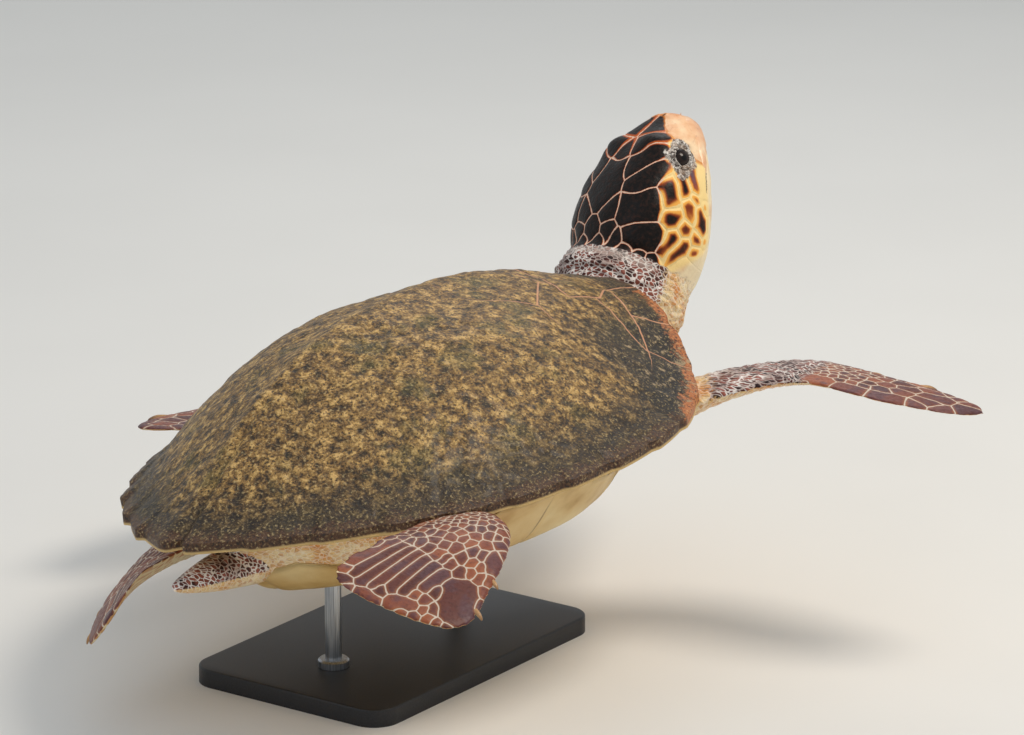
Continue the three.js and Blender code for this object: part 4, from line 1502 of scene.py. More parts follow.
@dataclass
class Flesh:
    """All that is skin: the head, neck, tail, flippers and the trunk inside the shell, as one piece."""

    place: Placement
    shell: Shell
    head: Head
    neck: Neck
    tail: Tail
    flippers: list[Flipper]
    voxel: float = 3.4
    trunk_reach: float = 0.955  # how far the trunk reaches to the rim
    neck_squeeze: float = 1.55  # how much shorter the neck's small scales are along it than across
    streak_turn: float = 38.0  # degrees from a flipper's length to the streaks on its root
    streak_length: float = 2.2  # how much longer the small scales there are along a streak
    streak_squeeze: float = 1.5  # how much closer across it
    crease: float = 13.0  # between the creases there
    plain_edge: Stops = (
        (0, 0.045), (20, 0.075), (35, 0.175), (45, 0.21), (60, 0.25), (80, 0.27), (95, 0.3), (110, 0.2),
    )
    cheek_edge: Stops = ((0.25, 46), (0.5, 57), (0.7, 62), (0.87, 77), (1, 84))
    throat_edge: Stops = (
        (0.2, 96), (0.4, 104), (0.6, 116), (0.75, 124), (0.9, 108), (1, 98),
    )

    def trunk_loft(self) -> bpy.types.Object:
        """Models the trunk as a closed disc that fills the shell.

        Returns:
            The closed body.
        """
        shell, count = self.shell, 40
        r = np.r_[np.linspace(0, 1, count), np.linspace(1, 0, count)] * self.trunk_reach
        rows = len(r) - 1

        def place(u: np.ndarray, v: np.ndarray) -> np.ndarray:
            """Gives the upper side from the middle to the rim, then the lower side back.

            Args:
                u: share of the way round the rim.
                v: share of the rows.

            Returns:
                Places in metres.
            """
            row = np.round(v * rows).astype(int)
            _, _, rim = shell.round_rim(u)
            low = shell.bottom(rim, r[row]) + 3.0
            high = np.maximum(shell.top(rim, r[row]) - shell.plate - 1.0, low + 2.0)
            height = np.where(row < count, high, low)
            spot = shell.plan(rim, r[row], np.zeros(len(u)))
            return self.place.world(np.concatenate([spot, height[:, None]], 1))

        return rolled_grid("trunk_loft", 240, rows, place)

    def build(self) -> bpy.types.Object:
        """Melts the parts into one skin, thins what is hidden, and sculpts the rest.

        Returns:
            The skin.
        """
        parts = [self.head.loft(), self.neck.loft(), self.tail.loft(), self.trunk_loft()]
        parts += [flipper.loft() for flipper in self.flippers]
        skin = joined("turtle_skin", parts)
        select_only(skin)
        skin.data.remesh_voxel_size = self.voxel * MM
        bpy.ops.object.voxel_remesh()
        set_points(skin, evened(points_of(skin), edges_of(skin), 5, 0.9))
        self.thin_hidden(skin)
        self.refine(skin)
        self.sculpt(skin)
        select_only(skin)
        bpy.ops.object.shade_smooth()
        return skin

    def thin_hidden(self, skin: bpy.types.Object) -> None:
        """Leaves few faces under the carapace and over the plastron, where nothing of the skin shows.

        Args:
            skin: the skin.
        """
        body = self.place.body(points_of(skin))
        _, _, rim, r = self.shell.polar(body[:, :2])
        outline = np.array(self.shell.plastron_half) * self.shell.length
        outline = np.concatenate([outline, outline[-2:0:-1] * [1, -1]])
        high = self.shell.top(rim, np.minimum(r, 1)) - self.shell.plate - 6
        under_top = (body[:, 2] > high) & (r < 0.86)
        over_belly = body[:, 2] < self.shell.bottom(rim, r) + 6
        over_belly &= signed_distance(body[:, :2], outline) < -8
        select_faces(skin, under_top | over_belly)
        bpy.ops.mesh.decimate(ratio=0.04)
        deselect_all()

    def refine(self, skin: bpy.types.Object) -> None:
        """Halves the faces of the head and neck, and again round the eyes.

        Args:
            skin: the skin.
        """
        body = self.place.body(points_of(skin))
        _, _, _, r = self.shell.polar(body[:, :2])
        head = self.place.to_head(body)
        neck = (head[:, 0] > -125) & (r > 0.97) & (np.abs(body[:, 1]) < 130)
        select_faces(skin, (head[:, 0] > -8) | neck)
        bpy.ops.mesh.subdivide(number_cuts=1, smoothness=0)
        deselect_all()
        set_points(skin, evened(points_of(skin), edges_of(skin), 2, 0.95))
        for reach, round_nostril in ((2.1, 13.0), (1.6, 8.0)):
            head = self.place.to_head(self.place.body(points_of(skin)))
            openings = np.minimum(*(self.head.lid_place(head, hand)[1] for hand in Side))
            select_faces(skin, (openings < 1.25 * reach) | (self.nostril_away(head) < round_nostril))
            bpy.ops.mesh.subdivide(number_cuts=1, smoothness=0)
            deselect_all()

    def sculpt(self, skin: bpy.types.Object) -> None:
        """Sculpts lids, nostrils, mouth, folds and scales, and stores what the material reads.

        Args:
            skin: the skin, with its faces refined.
        """
        body = self.place.body(points_of(skin))
        normals = normals_of(skin) @ self.place.body_turn
        at = self.survey(body)
        moved, lids = self.head.with_lids(at.head)
        relief = self.relief(at, body, lids)
        set_points(skin, self.place.world(self.place.from_head(moved) + normals * relief[:, None]))
        at.fields.store(skin)
        set_field(skin, "spread", at.spread)
        self.store_zones(skin, at, normals)
        self.store_head(skin, at, lids)

    def survey(self, body: np.ndarray) -> SkinSpots:
        """Finds what part of the skin each vertex is.

        Args:
            body: body frame points.

        Returns:
            The parts and the pattern of scales.
        """
        head, along, degrees = self.head.coordinates(body)
        low = ease(85, 115, degrees)  # below the cheek, where the head's horn fades into the neck
        reach = 0.006 + 0.06 * low
        on_head = ease(0.998 + reach, 0.998 - reach, along + (0.003 + 0.02 * low) * ripple(head, 14, 54))
        on_head *= ease(200, 130, np.abs(body[:, 1]))
        scales = self.head.scales()
        fields = CellFields.of(scales.distances(head), scales.tones)
        spread = head * [self.neck_squeeze, 1, 1]
        on_flipper, scaled, creased = (np.zeros(len(body)) for _ in range(3))
        at = SkinSpots(
            head, along, degrees, along < 1.12, (along < 1.9) & (np.abs(body[:, 1]) < 150), on_head,
            fields, spread, on_flipper, scaled, creased,
        )
        for flipper in self.flippers:
            self.survey_flipper(at, flipper, body)
        return at

    def survey_flipper(self, at: SkinSpots, flipper: Flipper, body: np.ndarray) -> None:
        """Adds a flipper to the survey.

        Args:
            at: survey of the skin.
            flipper: the flipper.
            body: body frame points.
        """
        t, across, height, outside = flipper.coordinates(body)
        pattern = flipper.scales()
        run = t * flipper.length
        own = CellFields.of(pattern.distances(np.stack([run, across], 1)), pattern.tones)
        mine = (outside < 0.35) & (t > 0.04) & ~at.is_head
        at.fields = at.fields.blended(own, mine)
        start = flipper.scale_start + 0.012 * ripple(body, 14, 55)
        at.scaled = np.maximum(at.scaled, ease(start - 0.03, start + 0.01, t) * mine)
        at.on_flipper = np.maximum(at.on_flipper, np.where(mine, t / flipper.scale_start, 0))
        turn = math.radians(self.streak_turn)
        long = run * math.cos(turn) - across * math.sin(turn)
        wide = -across * math.cos(turn) - run * math.sin(turn)
        own_spread = np.stack([long / self.streak_length, wide * self.streak_squeeze, height], 1)
        at.spread = np.where(mine[:, None], own_spread, at.spread)
        crease = np.sin((run + 4 * ripple(body, 30, 41)) * 2 * math.pi / self.crease)
        at.creased = np.where(mine, crease * ease(0.12, 0.3, t) * (1 - at.scaled), at.creased)

    def relief(self, at: SkinSpots, body: np.ndarray, lids: np.ndarray) -> np.ndarray:
        """Works out how far each vertex moves along its normal.

        Args:
            at: survey of the skin.
            body: body frame points.
            lids: how much each is eyelid.

        Returns:
            Millimetres outwards.
        """
        seam, horn = at.fields.seam, (1 - self.throat(at)) * (1 - lids)
        # Each groove is a narrow cut in a wide hollow.
        relief = at.on_head * horn * (-0.65 * bump(seam, 1.0) - 0.7 * bump(seam, 4.5))
        relief += at.scaled * (-0.5 * bump(seam, 1.4) - 0.45 * bump(seam, 4.0)) * ~at.is_head
        # A nostril has a raised rim round its hole.
        away, mouth = self.nostril_away(at.head), self.mouth_line(at.head, at.along)
        relief += 0.7 * bump(away - 4.2, 1.6) - 3.6 * ease(3.2, 1.2, away) - 2.2 * mouth
        behind = np.maximum(-at.head[:, 0] + 5 * ripple(body, 45, 51), -20)
        folds = np.sin(40 * math.pi * np.log(1 + behind / 160))  # 8 mm apart at the head, more behind
        soft = (1 - at.on_head) * (1 - at.scaled) * at.round_neck * ease(130, 95, behind)
        relief += soft * (ease(0, 60, behind) * 0.8 * folds + 0.7 * folds + 0.4 * ripple(body, 9, 52))
        return relief + 0.6 * at.creased + 0.35 * at.on_head * ripple(body, 26, 53) * (1 - lids)

    def plain_from(self, at: SkinSpots) -> np.ndarray:
        """Gives where the snout's plain horn ends, as a share of the head."""
        return through(self.plain_edge, at.degrees)

    def throat(self, at: SkinSpots) -> np.ndarray:
        """Gives how much each vertex is throat or snout, where the scutes have no seams."""
        throat = ease(-8, 10, at.degrees - through(self.throat_edge, at.along)) * (at.along < 1.2)
        return np.maximum(throat, ease(self.plain_from(at) + 0.012, self.plain_from(at) - 0.012, at.along))

    def store_zones(self, skin: bpy.types.Object, at: SkinSpots, normals: np.ndarray) -> None:
        """Stores where the skin is head, scaled or pale below.

        Args:
            skin: the skin.
            at: survey of it.
            normals: its normals in the body frame before the sculpting.
        """
        under = ease(-0.05, -0.6, normals[:, 2])
        neck_side = ease(80, 112, at.degrees) * at.round_neck
        root = ease(0.66, 0.4, at.on_flipper) * (at.on_flipper > 0)
        belly = np.maximum.reduce([under, neck_side, root]) * (1 - at.on_head)
        set_field(skin, "zones", np.stack([at.on_head, at.scaled, belly], 1))
        set_field(skin, "band", bump(at.along - 1.035, 0.03) * ease(95, 70, at.degrees) * at.round_neck)

    def store_head(self, skin: bpy.types.Object, at: SkinSpots, lids: np.ndarray) -> None:
        """Stores the head's lids, its dark marks (painted shade in the nostrils and the mouth's crease, and
        the dark smudge ahead of each eye) and snout's edge, and how its seams are drawn.

        Args:
            skin: the skin.
            at: survey of it.
            lids: how much each vertex is eyelid.
        """
        away, mouth = self.nostril_away(at.head), self.mouth_line(at.head, at.along)
        spots = (self.head.spot(*self.head.smudge, hand) for hand in Side)
        smudge = np.minimum(*(np.linalg.norm(at.head - spot, axis=1) for spot in spots))
        # Near black: painted shade in the nostrils' holes and the mouth's crease, and the real dark smudge
        # ahead of each eye.
        dark = np.maximum.reduce([ease(3.4, 2.0, away), ease(0.35, 0.9, mouth), 0.42 * bump(smudge, 6)])
        edge = (at.along - self.plain_from(at)) * self.head.length + 1.2 * ripple(at.head, 9, 56)
        set_field(skin, "marks", np.stack([lids, dark, np.where(at.is_head, edge, FAR)], 1))

        cheek, throat = ease(-5, 6, at.degrees - through(self.cheek_edge, at.along)), self.throat(at)
        width = 0.6 + 1.3 * cheek + 30 * throat
        width = np.where(at.fields.tone > PLAIN_TONE, 40, width)
        glow = np.maximum(0.5 + 2.3 * ease(0.46, 0.26, at.along), 5.2 * cheek)
        seams = [np.where(at.is_head, a, b) for a, b in ((width, 1.0), (glow, 1.0), (cheek + throat, 0.0))]
        set_field(skin, "seam_widths", np.stack(seams, 1))

    def nostril_away(self, head: np.ndarray) -> np.ndarray:
        """Gives the distance to the nearer nostril, which is longer than wide."""
        spots = (self.head.spot(*self.head.nostril, hand) for hand in Side)
        return np.minimum(*(np.linalg.norm((head - spot) * [0.8, 1, 1], axis=1) for spot in spots))

    def mouth_line(self, head: np.ndarray, along: np.ndarray) -> np.ndarray:
        """Gives how deep in the mouth's crease each point is, 0 to 1."""
        line = through(self.head.mouth, along) * self.head.length
        return bump(head[:, 2] - line, 1.5) * ease(0.5, 0.44, along) * ease(-0.1, -0.05, along)


# ---------------------------------------------------------------- finishes
def linear(colour: str) -> tuple[float, float, float, float]:
    """Turns an sRGB hex colour to linear.

    Args:
        colour: six hex digits after a #.

    Returns:
        Red, green, blue and 1.
    """
    parts = (int(colour[k : k + 2], 16) / 255 for k in (1, 3, 5))
    red, green, blue = (c / 12.92 if c <= 0.04045 else ((c + 0.055) / 1.055) ** 2.4 for c in parts)
    return red, green, blue, 1.0


def add(
    tree: bpy.types.NodeTree, kind: str, inputs: dict | None = None, out: int = 0,
    stops: list[tuple[float, str]] | None = None, **settings: object,
) -> Socket:
    """Adds a shader node with its settings and links.

    Args:
        tree: the material's nodes.
        kind: node's type without ShaderNode before it.
        inputs: a value, an sRGB hex colour or another node's output for each named or numbered input.
        out: number of the output to give back.
        stops: places and hex colours of a colour ramp.
        settings: the node's own settings.

    Returns:
        One of its outputs.
    """
    made = tree.nodes.new("ShaderNode" + kind)
    for key, value in settings.items():
        setattr(made, key, value)
    for key, value in (inputs or {}).items():
        if isinstance(value, Socket):
            tree.links.new(value, made.inputs[key])
        else:
            made.inputs[key].default_value = linear(value) if isinstance(value, str) else value
    for index, (at, colour) in enumerate(stops or []):
        elements = made.color_ramp.elements
        element = elements[index] if index < 2 else elements.new(at)
        element.position, element.color = at, linear(colour)
    return made.outputs[out]


def blank(name: str) -> tuple[bpy.types.Material, bpy.types.NodeTree, Socket]:
    """Makes a material without nodes.

    Args:
        name: the material's name.

    Returns:
        The material, its tree, and object coordinates in millimetres.
    """
    material = bpy.data.materials.new(name)
    material.use_nodes = True
    tree = material.node_tree
    tree.nodes.clear()
    spot = add(tree, "Mapping", {"Vector": add(tree, "TexCoord", out=3), "Scale": (1 / MM,) * 3})
    return material, tree, spot


def paint(
    tree: bpy.types.NodeTree, under: Socket | str, over: Socket | str, by: Socket, low: float, high: float,
    most: float = 1.0,
) -> Socket:
    """Lays a colour over another where a value passes from low to high.

    Args:
        tree: the material's nodes.
        under: colour below.
        over: colour on top.
        by: the value.
        low: where the upper colour starts; it may be more than high.
        high: where it is full.
        most: how much of it lies there.

    Returns:
        The colour.
    """
    inputs = {"Value": by, "From Min": low, "From Max": high, "To Max": most}
    share = add(tree, "MapRange", inputs, interpolation_type="SMOOTHSTEP")
    return add(tree, "Mix", {0: share, 6: under, 7: over}, out=2, data_type="RGBA")


def split(tree: bpy.types.NodeTree, name: str) -> list[Socket]:
    """Gives the three numbers that a piece stores at its vertices under a name."""
    stored = add(tree, "Attribute", out=1, attribute_name=name)
    return list(add(tree, "SeparateXYZ", {0: stored}).node.outputs)


def seam_distance(tree: bpy.types.NodeTree) -> Socket:
    """Works the millimetres to the nearest seam out from the classes of scales.

    Args:
        tree: the material's nodes.

    Returns:
        The distance.
    """
    fields = split(tree, "cells_a") + split(tree, "cells_b")
    two = {0: fields[0], 1: fields[1]}
    near, after = (add(tree, "Math", two, operation=name) for name in ("MINIMUM", "MAXIMUM"))
    for value in fields[2:]:
        passed = add(tree, "Math", {0: near, 1: value}, operation="MAXIMUM")
        after = add(tree, "Math", {0: after, 1: passed}, operation="MINIMUM")
        near = add(tree, "Math", {0: near, 1: value}, operation="MINIMUM")
    between = add(tree, "Math", {0: after, 1: near}, operation="SUBTRACT")
    return add(tree, "Math", {0: between, 1: 0.5}, operation="MULTIPLY")


def shine(
    tree: bpy.types.NodeTree, colour: Socket, roughness: Socket | float, bumps: list[tuple[Socket, float]],
    **fixed: float,
) -> None:
    """Ends a material with its shader.

    Args:
        tree: the material's nodes.
        colour: its colour.
        roughness: a number or a node's output.
        bumps: pairs of a height and its depth in metres, laid one on another.
        fixed: numbers for the shader's own inputs, with _ for a blank.
    """
    inputs = {key.replace("_", " "): value for key, value in fixed.items()}
    inputs |= {"Base Color": colour, "Roughness": roughness}
    for height, depth in bumps:
        below = {"Normal": inputs["Normal"]} if "Normal" in inputs else {}
        inputs["Normal"] = add(tree, "Bump", {"Height": height, "Distance": depth, "Strength": 1.0, **below})
    shader = add(tree, "BsdfPrincipled", inputs)
    output = tree.nodes.new("ShaderNodeOutputMaterial")
    tree.links.new(shader, output.inputs["Surface"])


SNOUT_COLOURS = [(0.35, "#fbdcb4"), (0.68, "#e2a271"), (0.5, "#f3c498")]  # cream to orange horn


@dataclass(frozen=True)
class CarapaceKeratin:
    """Keratin scutes grown over with a film of algae, wet: golden olive mottling, with painted glints and wet
    sheen, and painted shade over the right shoulder.
    """

    patch: float = 60.0  # millimetres of the large patches
    mottle: float = 11.0
    grain: float = 3.0  # drawn a little coarser than the film's own grain, so that it shows

    def dress(self) -> bpy.types.Material:
        """Makes the material.

        Returns:
            The material.
        """
        material, tree, spot = blank("keratin_algae_film")
        patch = add(tree, "TexNoise", {"Vector": spot, "Scale": 1 / self.patch, "Detail": 3.0})
        mottle, grain = (
            add(tree, "TexNoise", {"Vector": spot, "Scale": 1 / size, "Detail": detail, "Roughness": rough})
            for size, detail, rough in ((self.mottle, 4.0, 0.68), (self.grain, 2.0, 0.6))
        )
        gold = [(0.36, "#2e200d"), (0.64, "#d8b06c"), (0.46, "#70522a"), (0.55, "#a07c42")]
        colour = add(tree, "ValToRGB", {0: mottle}, stops=gold)
        colour = paint(tree, colour, "#5a5a2c", patch, 0.52, 0.64, 0.4)  # greener patches
        out, nape, under = split(tree, "zone")
        front, dusk = (add(tree, "Attribute", out=2, attribute_name=name) for name in ("front", "dusk"))
        ragged = add(tree, "Math", {0: mottle, 1: 50.0, 2: out}, operation="MULTIPLY_ADD")
        colour = paint(tree, colour, "#21180f", ragged, 98, 44, 0.84)  # darker towards the rim
        # Painted shade: the right shoulder darkened, broken up by the mottling.
        shade = add(tree, "Math", {0: mottle, 1: -1.1, 2: dusk}, operation="MULTIPLY_ADD")
        colour = paint(tree, colour, "#17110c", shade, -0.3, 0.3, 0.85)
        colour = paint(tree, colour, "#54331c", ragged, 36, 28, 0.75)  # the rim's bare horn
        ahead = add(tree, "Math", {0: front, 1: -200.0, 2: ragged}, operation="MULTIPLY_ADD")
        colour = paint(tree, colour, "#c07440", ahead, -160, -170, 0.9)
        colour = paint(tree, colour, "#1a120a", grain, 0.47, 0.36, 0.85)  # pits
        colour = paint(tree, colour, "#dcc590", grain, 0.53, 0.75, 0.5)  # pale specks: painted glints of the wet film
        # Pale mottled patches: a painted wet sheen, stronger over the painted shade of the right shoulder.
        wet = add(tree, "Math", {0: dusk, 1: 0.12, 2: mottle}, operation="MULTIPLY_ADD")
        colour = paint(tree, colour, "#b9a17c", wet, 0.68, 0.76, 0.7)
        seam = seam_distance(tree)
        colour = paint(tree, colour, "#2a2013", seam, 3.0, 0.8, 0.3)
        pale = add(tree, "Math", {0: nape, 1: -1.3, 2: seam}, operation="MULTIPLY_ADD")
        colour = paint(tree, colour, "#d99f78", pale, 0, -0.6, 0.85)
        colour = paint(tree, colour, "#cfae72", under, 0.7, 1)
        limits = {"From Min": 0.3, "From Max": 0.7, "To Min": 0.4, "To Max": 0.7}
        rough = add(tree, "MapRange", {"Value": grain, **limits})
        bumps = [(mottle, 3.0 * MM), (grain, 1.5 * MM)]
        shine(tree, colour, rough, bumps, IOR=1.45, Coat_Weight=0.08, Coat_Roughness=0.15)
        return material


@dataclass(frozen=True)
class PlastronKeratin:
    """Smooth keratin of the belly: cream yellow shields with browner seams, a soft gloss."""

    cloud: float = 55.0  # millimetres
    grain: float = 6.0

    def dress(self) -> bpy.types.Material:
        """Makes the material.

        Returns:
            The material.
        """
        material, tree, spot = blank("keratin_belly")
        seam, tone = (add(tree, "Attribute", out=2, attribute_name=name) for name in ("seam", "tone"))
        cloud = add(tree, "TexNoise", {"Vector": spot, "Scale": 1 / self.cloud, "Detail": 4.0})
        grain = add(tree, "TexNoise", {"Vector": spot, "Scale": 1 / self.grain, "Detail": 3.0})
        cream = [(0.3, "#b9904f"), (0.7, "#e8cf96"), (0.5, "#d9b97b")]
        colour = add(tree, "ValToRGB", {0: cloud}, stops=cream)
        colour = paint(tree, colour, "#c99d5c", tone, 0, 1, 0.3)
        colour = paint(tree, colour, "#7a5530", seam, 2.2, 0.7, 0.7)
        shine(tree, colour, 0.42, [(grain, 0.3 * MM), (cloud, 1.0 * MM)], IOR=1.5)
        return material


@dataclass(frozen=True)
class SkinFields:
    """What the skin's colours are worked out from."""

    tree: bpy.types.NodeTree
    seam: Socket  # millimetres to the nearest seam between horny scales
    tone: Socket  # of the scale
    belly: Socket  # 0 above to 1 below
    cloud: Socket  # noise of the large patches
    fine: Socket  # noise of the grain


@dataclass(frozen=True)
class ScalySkin:
    """Wet reptile skin: dark horny scutes with pale seams, yellow cheeks, small scales on the folds."""

    net: float = 6.4  # millimetres between the small scales of the neck
    lid_grain: float = 2.8  # between the granules of the eyelids
    patch: float = 34.0
    grain: float = 4.5

    def dress(self) -> bpy.types.Material:
        """Makes the material.

        Returns:
            The material.
        """
        material, tree, spot = blank("skin_scales")
        on_head, scaled, belly = split(tree, "zones")
        lids, dark, edge = split(tree, "marks")
        tone, band = (add(tree, "Attribute", out=2, attribute_name=name) for name in ("tone", "band"))
        cloud, fine = (
            add(tree, "TexNoise", {"Vector": spot, "Scale": 1 / size, "Detail": 3.0, "Roughness": 0.6})
            for size in (self.patch, self.grain)
        )
        given = SkinFields(tree, seam_distance(tree), tone, belly, cloud, fine)
        colour, net = self.soft(given, band)
        colour = paint(tree, colour, self.flipper(given), scaled, 0, 1)
        pale = split(tree, "seam_widths")[2]
        border = paint(tree, "#d98236", "#f4d6a6", pale, 1.2, 1.9)
        head = paint(tree, self.scutes(given), border, edge, 6.5, 1, 0.9)
        head = paint(tree, head, self.snout(given), edge, 1.2, -1.2)
        colour = paint(tree, colour, head, on_head, 0, 1)
        granules, lid_relief = self.granules(given, spot)
        colour = paint(tree, colour, granules, lids, 0, 1)
        # Near black: painted shade in the nostrils and the mouth's crease, and the dark smudge ahead of each
        # eye.
        colour = paint(tree, colour, "#160d0a", dark, 0, 1)
        plates = add(tree, "Math", {0: on_head, 1: scaled}, operation="MAXIMUM")
        loose = add(tree, "Mix", {0: plates, 2: net, 3: 1.0})
        grooves = add(tree, "MapRange", {"Value": given.seam, "From Min": 0.0, "From Max": 1.3})
        grooves = add(tree, "Mix", {0: plates, 2: 1.0, 3: grooves})
        raised = add(tree, "Mix", {0: lids, 2: 0.5, 3: lid_relief})
        limits = {"From Min": 0.3, "From Max": 0.7, "To Min": 0.3, "To Max": 0.52}
        rough = add(tree, "MapRange", {"Value": fine, **limits})
        bumps = [(fine, 0.8 * MM), (grooves, 0.4 * MM), (loose, 0.9 * MM), (raised, 0.9 * MM)]
        shine(tree, colour, rough, bumps, IOR=1.28, Coat_Weight=0.06, Coat_Roughness=0.2)
        return material

    def soft(self, given: SkinFields, band: Socket) -> tuple[Socket, Socket]:
        """Gives the colour of the loose skin, and the height of its small scales.

        Args:
            given: fields of the skin.
            band: where the skin is pale behind the head.

        Returns:
            The colour and the height.
        """
        tree = given.tree
        spot = add(tree, "Attribute", out=1, attribute_name="spread")
        warp = add(tree, "TexNoise", {"Vector": spot, "Scale": 1 / 22, "Detail": 2.0}, out=1)
        spot = add(tree, "VectorMath", {0: warp, 1: (9.0,) * 3, 2: spot}, operation="MULTIPLY_ADD")
        inputs = {"Vector": spot, "Scale": 1 / self.net, "Randomness": 0.9}
        cell = add(tree, "TexVoronoi", inputs, out=1)
        edge = add(tree, "TexVoronoi", inputs, feature="DISTANCE_TO_EDGE")
        net = add(tree, "MapRange", {"Value": edge, "From Min": 0.02, "From Max": 0.3})
        line = add(tree, "Math", {0: given.fine, 1: 0.34, 2: edge}, operation="MULTIPLY_ADD")
        scale = add(tree, "ValToRGB", {0: cell}, stops=[(0.2, "#2d1a1a"), (0.8, "#97584a"), (0.5, "#61362f")])
        scale = paint(tree, scale, "#2b1a1d", given.cloud, 0.52, 0.66, 0.6)
        lines = paint(tree, "#b5a199", "#efe7e0", given.cloud, 0.6, 0.4)
        scale = paint(tree, scale, "#a9614f", given.cloud, 0.47, 0.36, 0.55)
        colour = paint(tree, scale, lines, line, 0.31, 0.24)
        colour = paint(tree, colour, "#dccfc4", band, 0, 1, 0.45)
        orange = [(0.36, "#f6e0b4"), (0.66, "#dd9350"), (0.52, "#eec88c")]
        cream = add(tree, "ValToRGB", {0: given.cloud}, stops=orange)
        cream = paint(tree, cream, "#c9834a", cell, 0.5, 0.75, 0.5)
        cream = paint(tree, cream, "#fff2dc", line, 0.3, 0.22, 0.5)
        share = add(tree, "Math", {0: given.fine, 1: 0.7, 2: given.belly}, operation="MULTIPLY_ADD")
        return paint(tree, colour, cream, share, 0.68, 0.95), net

    def granules(self, given: SkinFields, spot: Socket) -> tuple[Socket, Socket]:
        """Gives the look of the eyelids' granules, white, grey and black.

        Args:
            given: fields of the skin.
            spot: object coordinates in millimetres.

        Returns:
            The colour and the height.
        """
        tree = given.tree
        inputs = {"Vector": spot, "Scale": 1 / self.lid_grain, "Randomness": 1.0}
        cell = add(tree, "TexVoronoi", inputs, out=1)
        edge = add(tree, "TexVoronoi", inputs, feature="DISTANCE_TO_EDGE")
        greys = [(0.24, "#6d625b"), (0.6, "#efe8df"), (0.43, "#b3a99f")]
        colour = add(tree, "ValToRGB", {0: cell}, stops=greys)
        colour = paint(tree, colour, "#c4a284", given.cloud, 0.5, 0.62, 0.45)
        height = add(tree, "MapRange", {"Value": edge, "From Min": 0.0, "From Max": 0.3})
        return paint(tree, colour, "#3a302b", edge, 0.12, 0.02, 0.42), height

    def scutes(self, given: SkinFields) -> Socket:
        """Paints the head's scutes: a seam, an orange glow inside it and a dark core.

        Args:
            given: fields of the skin.

        Returns:
            The colour.
        """
        tree = given.tree
        width, glow, pale = split(tree, "seam_widths")
        fuzzy = add(tree, "Math", {0: given.fine, 1: 1.4, 2: given.seam}, operation="MULTIPLY_ADD")
        fuzzy = add(tree, "Math", {0: fuzzy, 1: 0.7}, operation="SUBTRACT")
        seam = add(tree, "Math", {0: fuzzy, 1: width}, operation="DIVIDE")
        inner = add(tree, "Math", {0: fuzzy, 1: width}, operation="SUBTRACT")
        inner = add(tree, "Math", {0: inner, 1: glow}, operation="DIVIDE")
        browns = [(0.35, "#0b0706"), (0.7, "#301a12"), (0.5, "#160e0a")]
        horn = add(tree, "ValToRGB", {0: given.fine}, stops=browns)
        worn = add(tree, "Math", {0: given.cloud, 1: 0.6, 2: given.tone}, operation="MULTIPLY_ADD")
        horn = paint(tree, horn, "#7a3a1c", worn, 1.0, 1.4)
        horn = paint(tree, horn, "#6b5560", given.tone, 1.1, 1.2)
        lines = paint(tree, "#ecccb4", "#ffe09a", pale, 0.2, 0.9)
        throat = paint(tree, "#f8e4bc", "#dfa877", given.cloud, 0.5, 0.68, 0.5)
        lines = paint(tree, lines, throat, pale, 1.2, 1.9)
        glowing = paint(tree, "#c9601f", "#fbb553", pale, 0.2, 0.9)
        glowing = paint(tree, glowing, "#a4481c", inner, 0.15, 0.75)
        colour = paint(tree, lines, glowing, seam, 0.8, 1.25)
        return paint(tree, colour, horn, inner, 0.45, 1.1)

    def snout(self, given: SkinFields) -> Socket:
        """Paints the plain snout like the beak.

        Args:
            given: fields of the skin.

        Returns:
            The colour.
        """
        tree = given.tree
        colour = add(tree, "ValToRGB", {0: given.cloud}, stops=SNOUT_COLOURS)
        return paint(tree, colour, "#b9836a", given.fine, 0.56, 0.75, 0.35)

    def flipper(self, given: SkinFields) -> Socket:
        """Paints the flippers' scales.

        Args:
            given: fields of the skin.

        Returns:
            The colour.
        """
        tree = given.tree
        reds = [(0.0, "#542b27"), (1.0, "#a05a3a"), (0.5, "#7a4236")]
        scale = add(tree, "ValToRGB", {0: given.tone}, stops=reds)
        scale = paint(tree, scale, "#5d4048", given.cloud, 0.48, 0.6, 0.7)
        scale = paint(tree, scale, "#b5713f", given.seam, 3.6, 1.0, 0.4)
        scale = paint(tree, scale, "#3d2322", given.fine, 0.5, 0.7, 0.4)
        colour = paint(tree, scale, "#dccdbb", given.seam, 0.95, 0.5, 0.9)
        under = paint(tree, "#f0dcae", "#d09a60", given.seam, 1.2, 4.0)
        return paint(tree, colour, under, given.belly, 0.35, 0.8)


@dataclass(frozen=True)
class BeakHorn:
    """Beak keratin: pale orange cream, smooth and waxy, with faint streaks down from the edge."""

    cloud: float = 34.0  # millimetres
    streak: tuple[float, float] = (7.0, 28.0)  # across and up

    def dress(self) -> bpy.types.Material:
        """Makes the material.

        Returns:
            The material.
        """
        material, tree, spot = blank("keratin_beak")
        inputs = {"Vector": spot, "Scale": 1 / self.cloud, "Detail": 3.0, "Roughness": 0.6}
        cloud = add(tree, "TexNoise", inputs)
        across, up = self.streak
        drawn = add(tree, "Mapping", {"Vector": spot, "Scale": (1 / across, 1 / across, 1 / up)})
        streak = add(tree, "TexNoise", {"Vector": drawn, "Scale": 1.0, "Detail": 3.0})
        colour = add(tree, "ValToRGB", {0: cloud}, stops=SNOUT_COLOURS)
        colour = paint(tree, colour, "#a97a72", streak, 0.56, 0.75, 0.45)
        shine(tree, colour, 0.36, [(streak, 0.5 * MM)], IOR=1.5, Coat_Weight=0.2, Coat_Roughness=0.2)
        return material


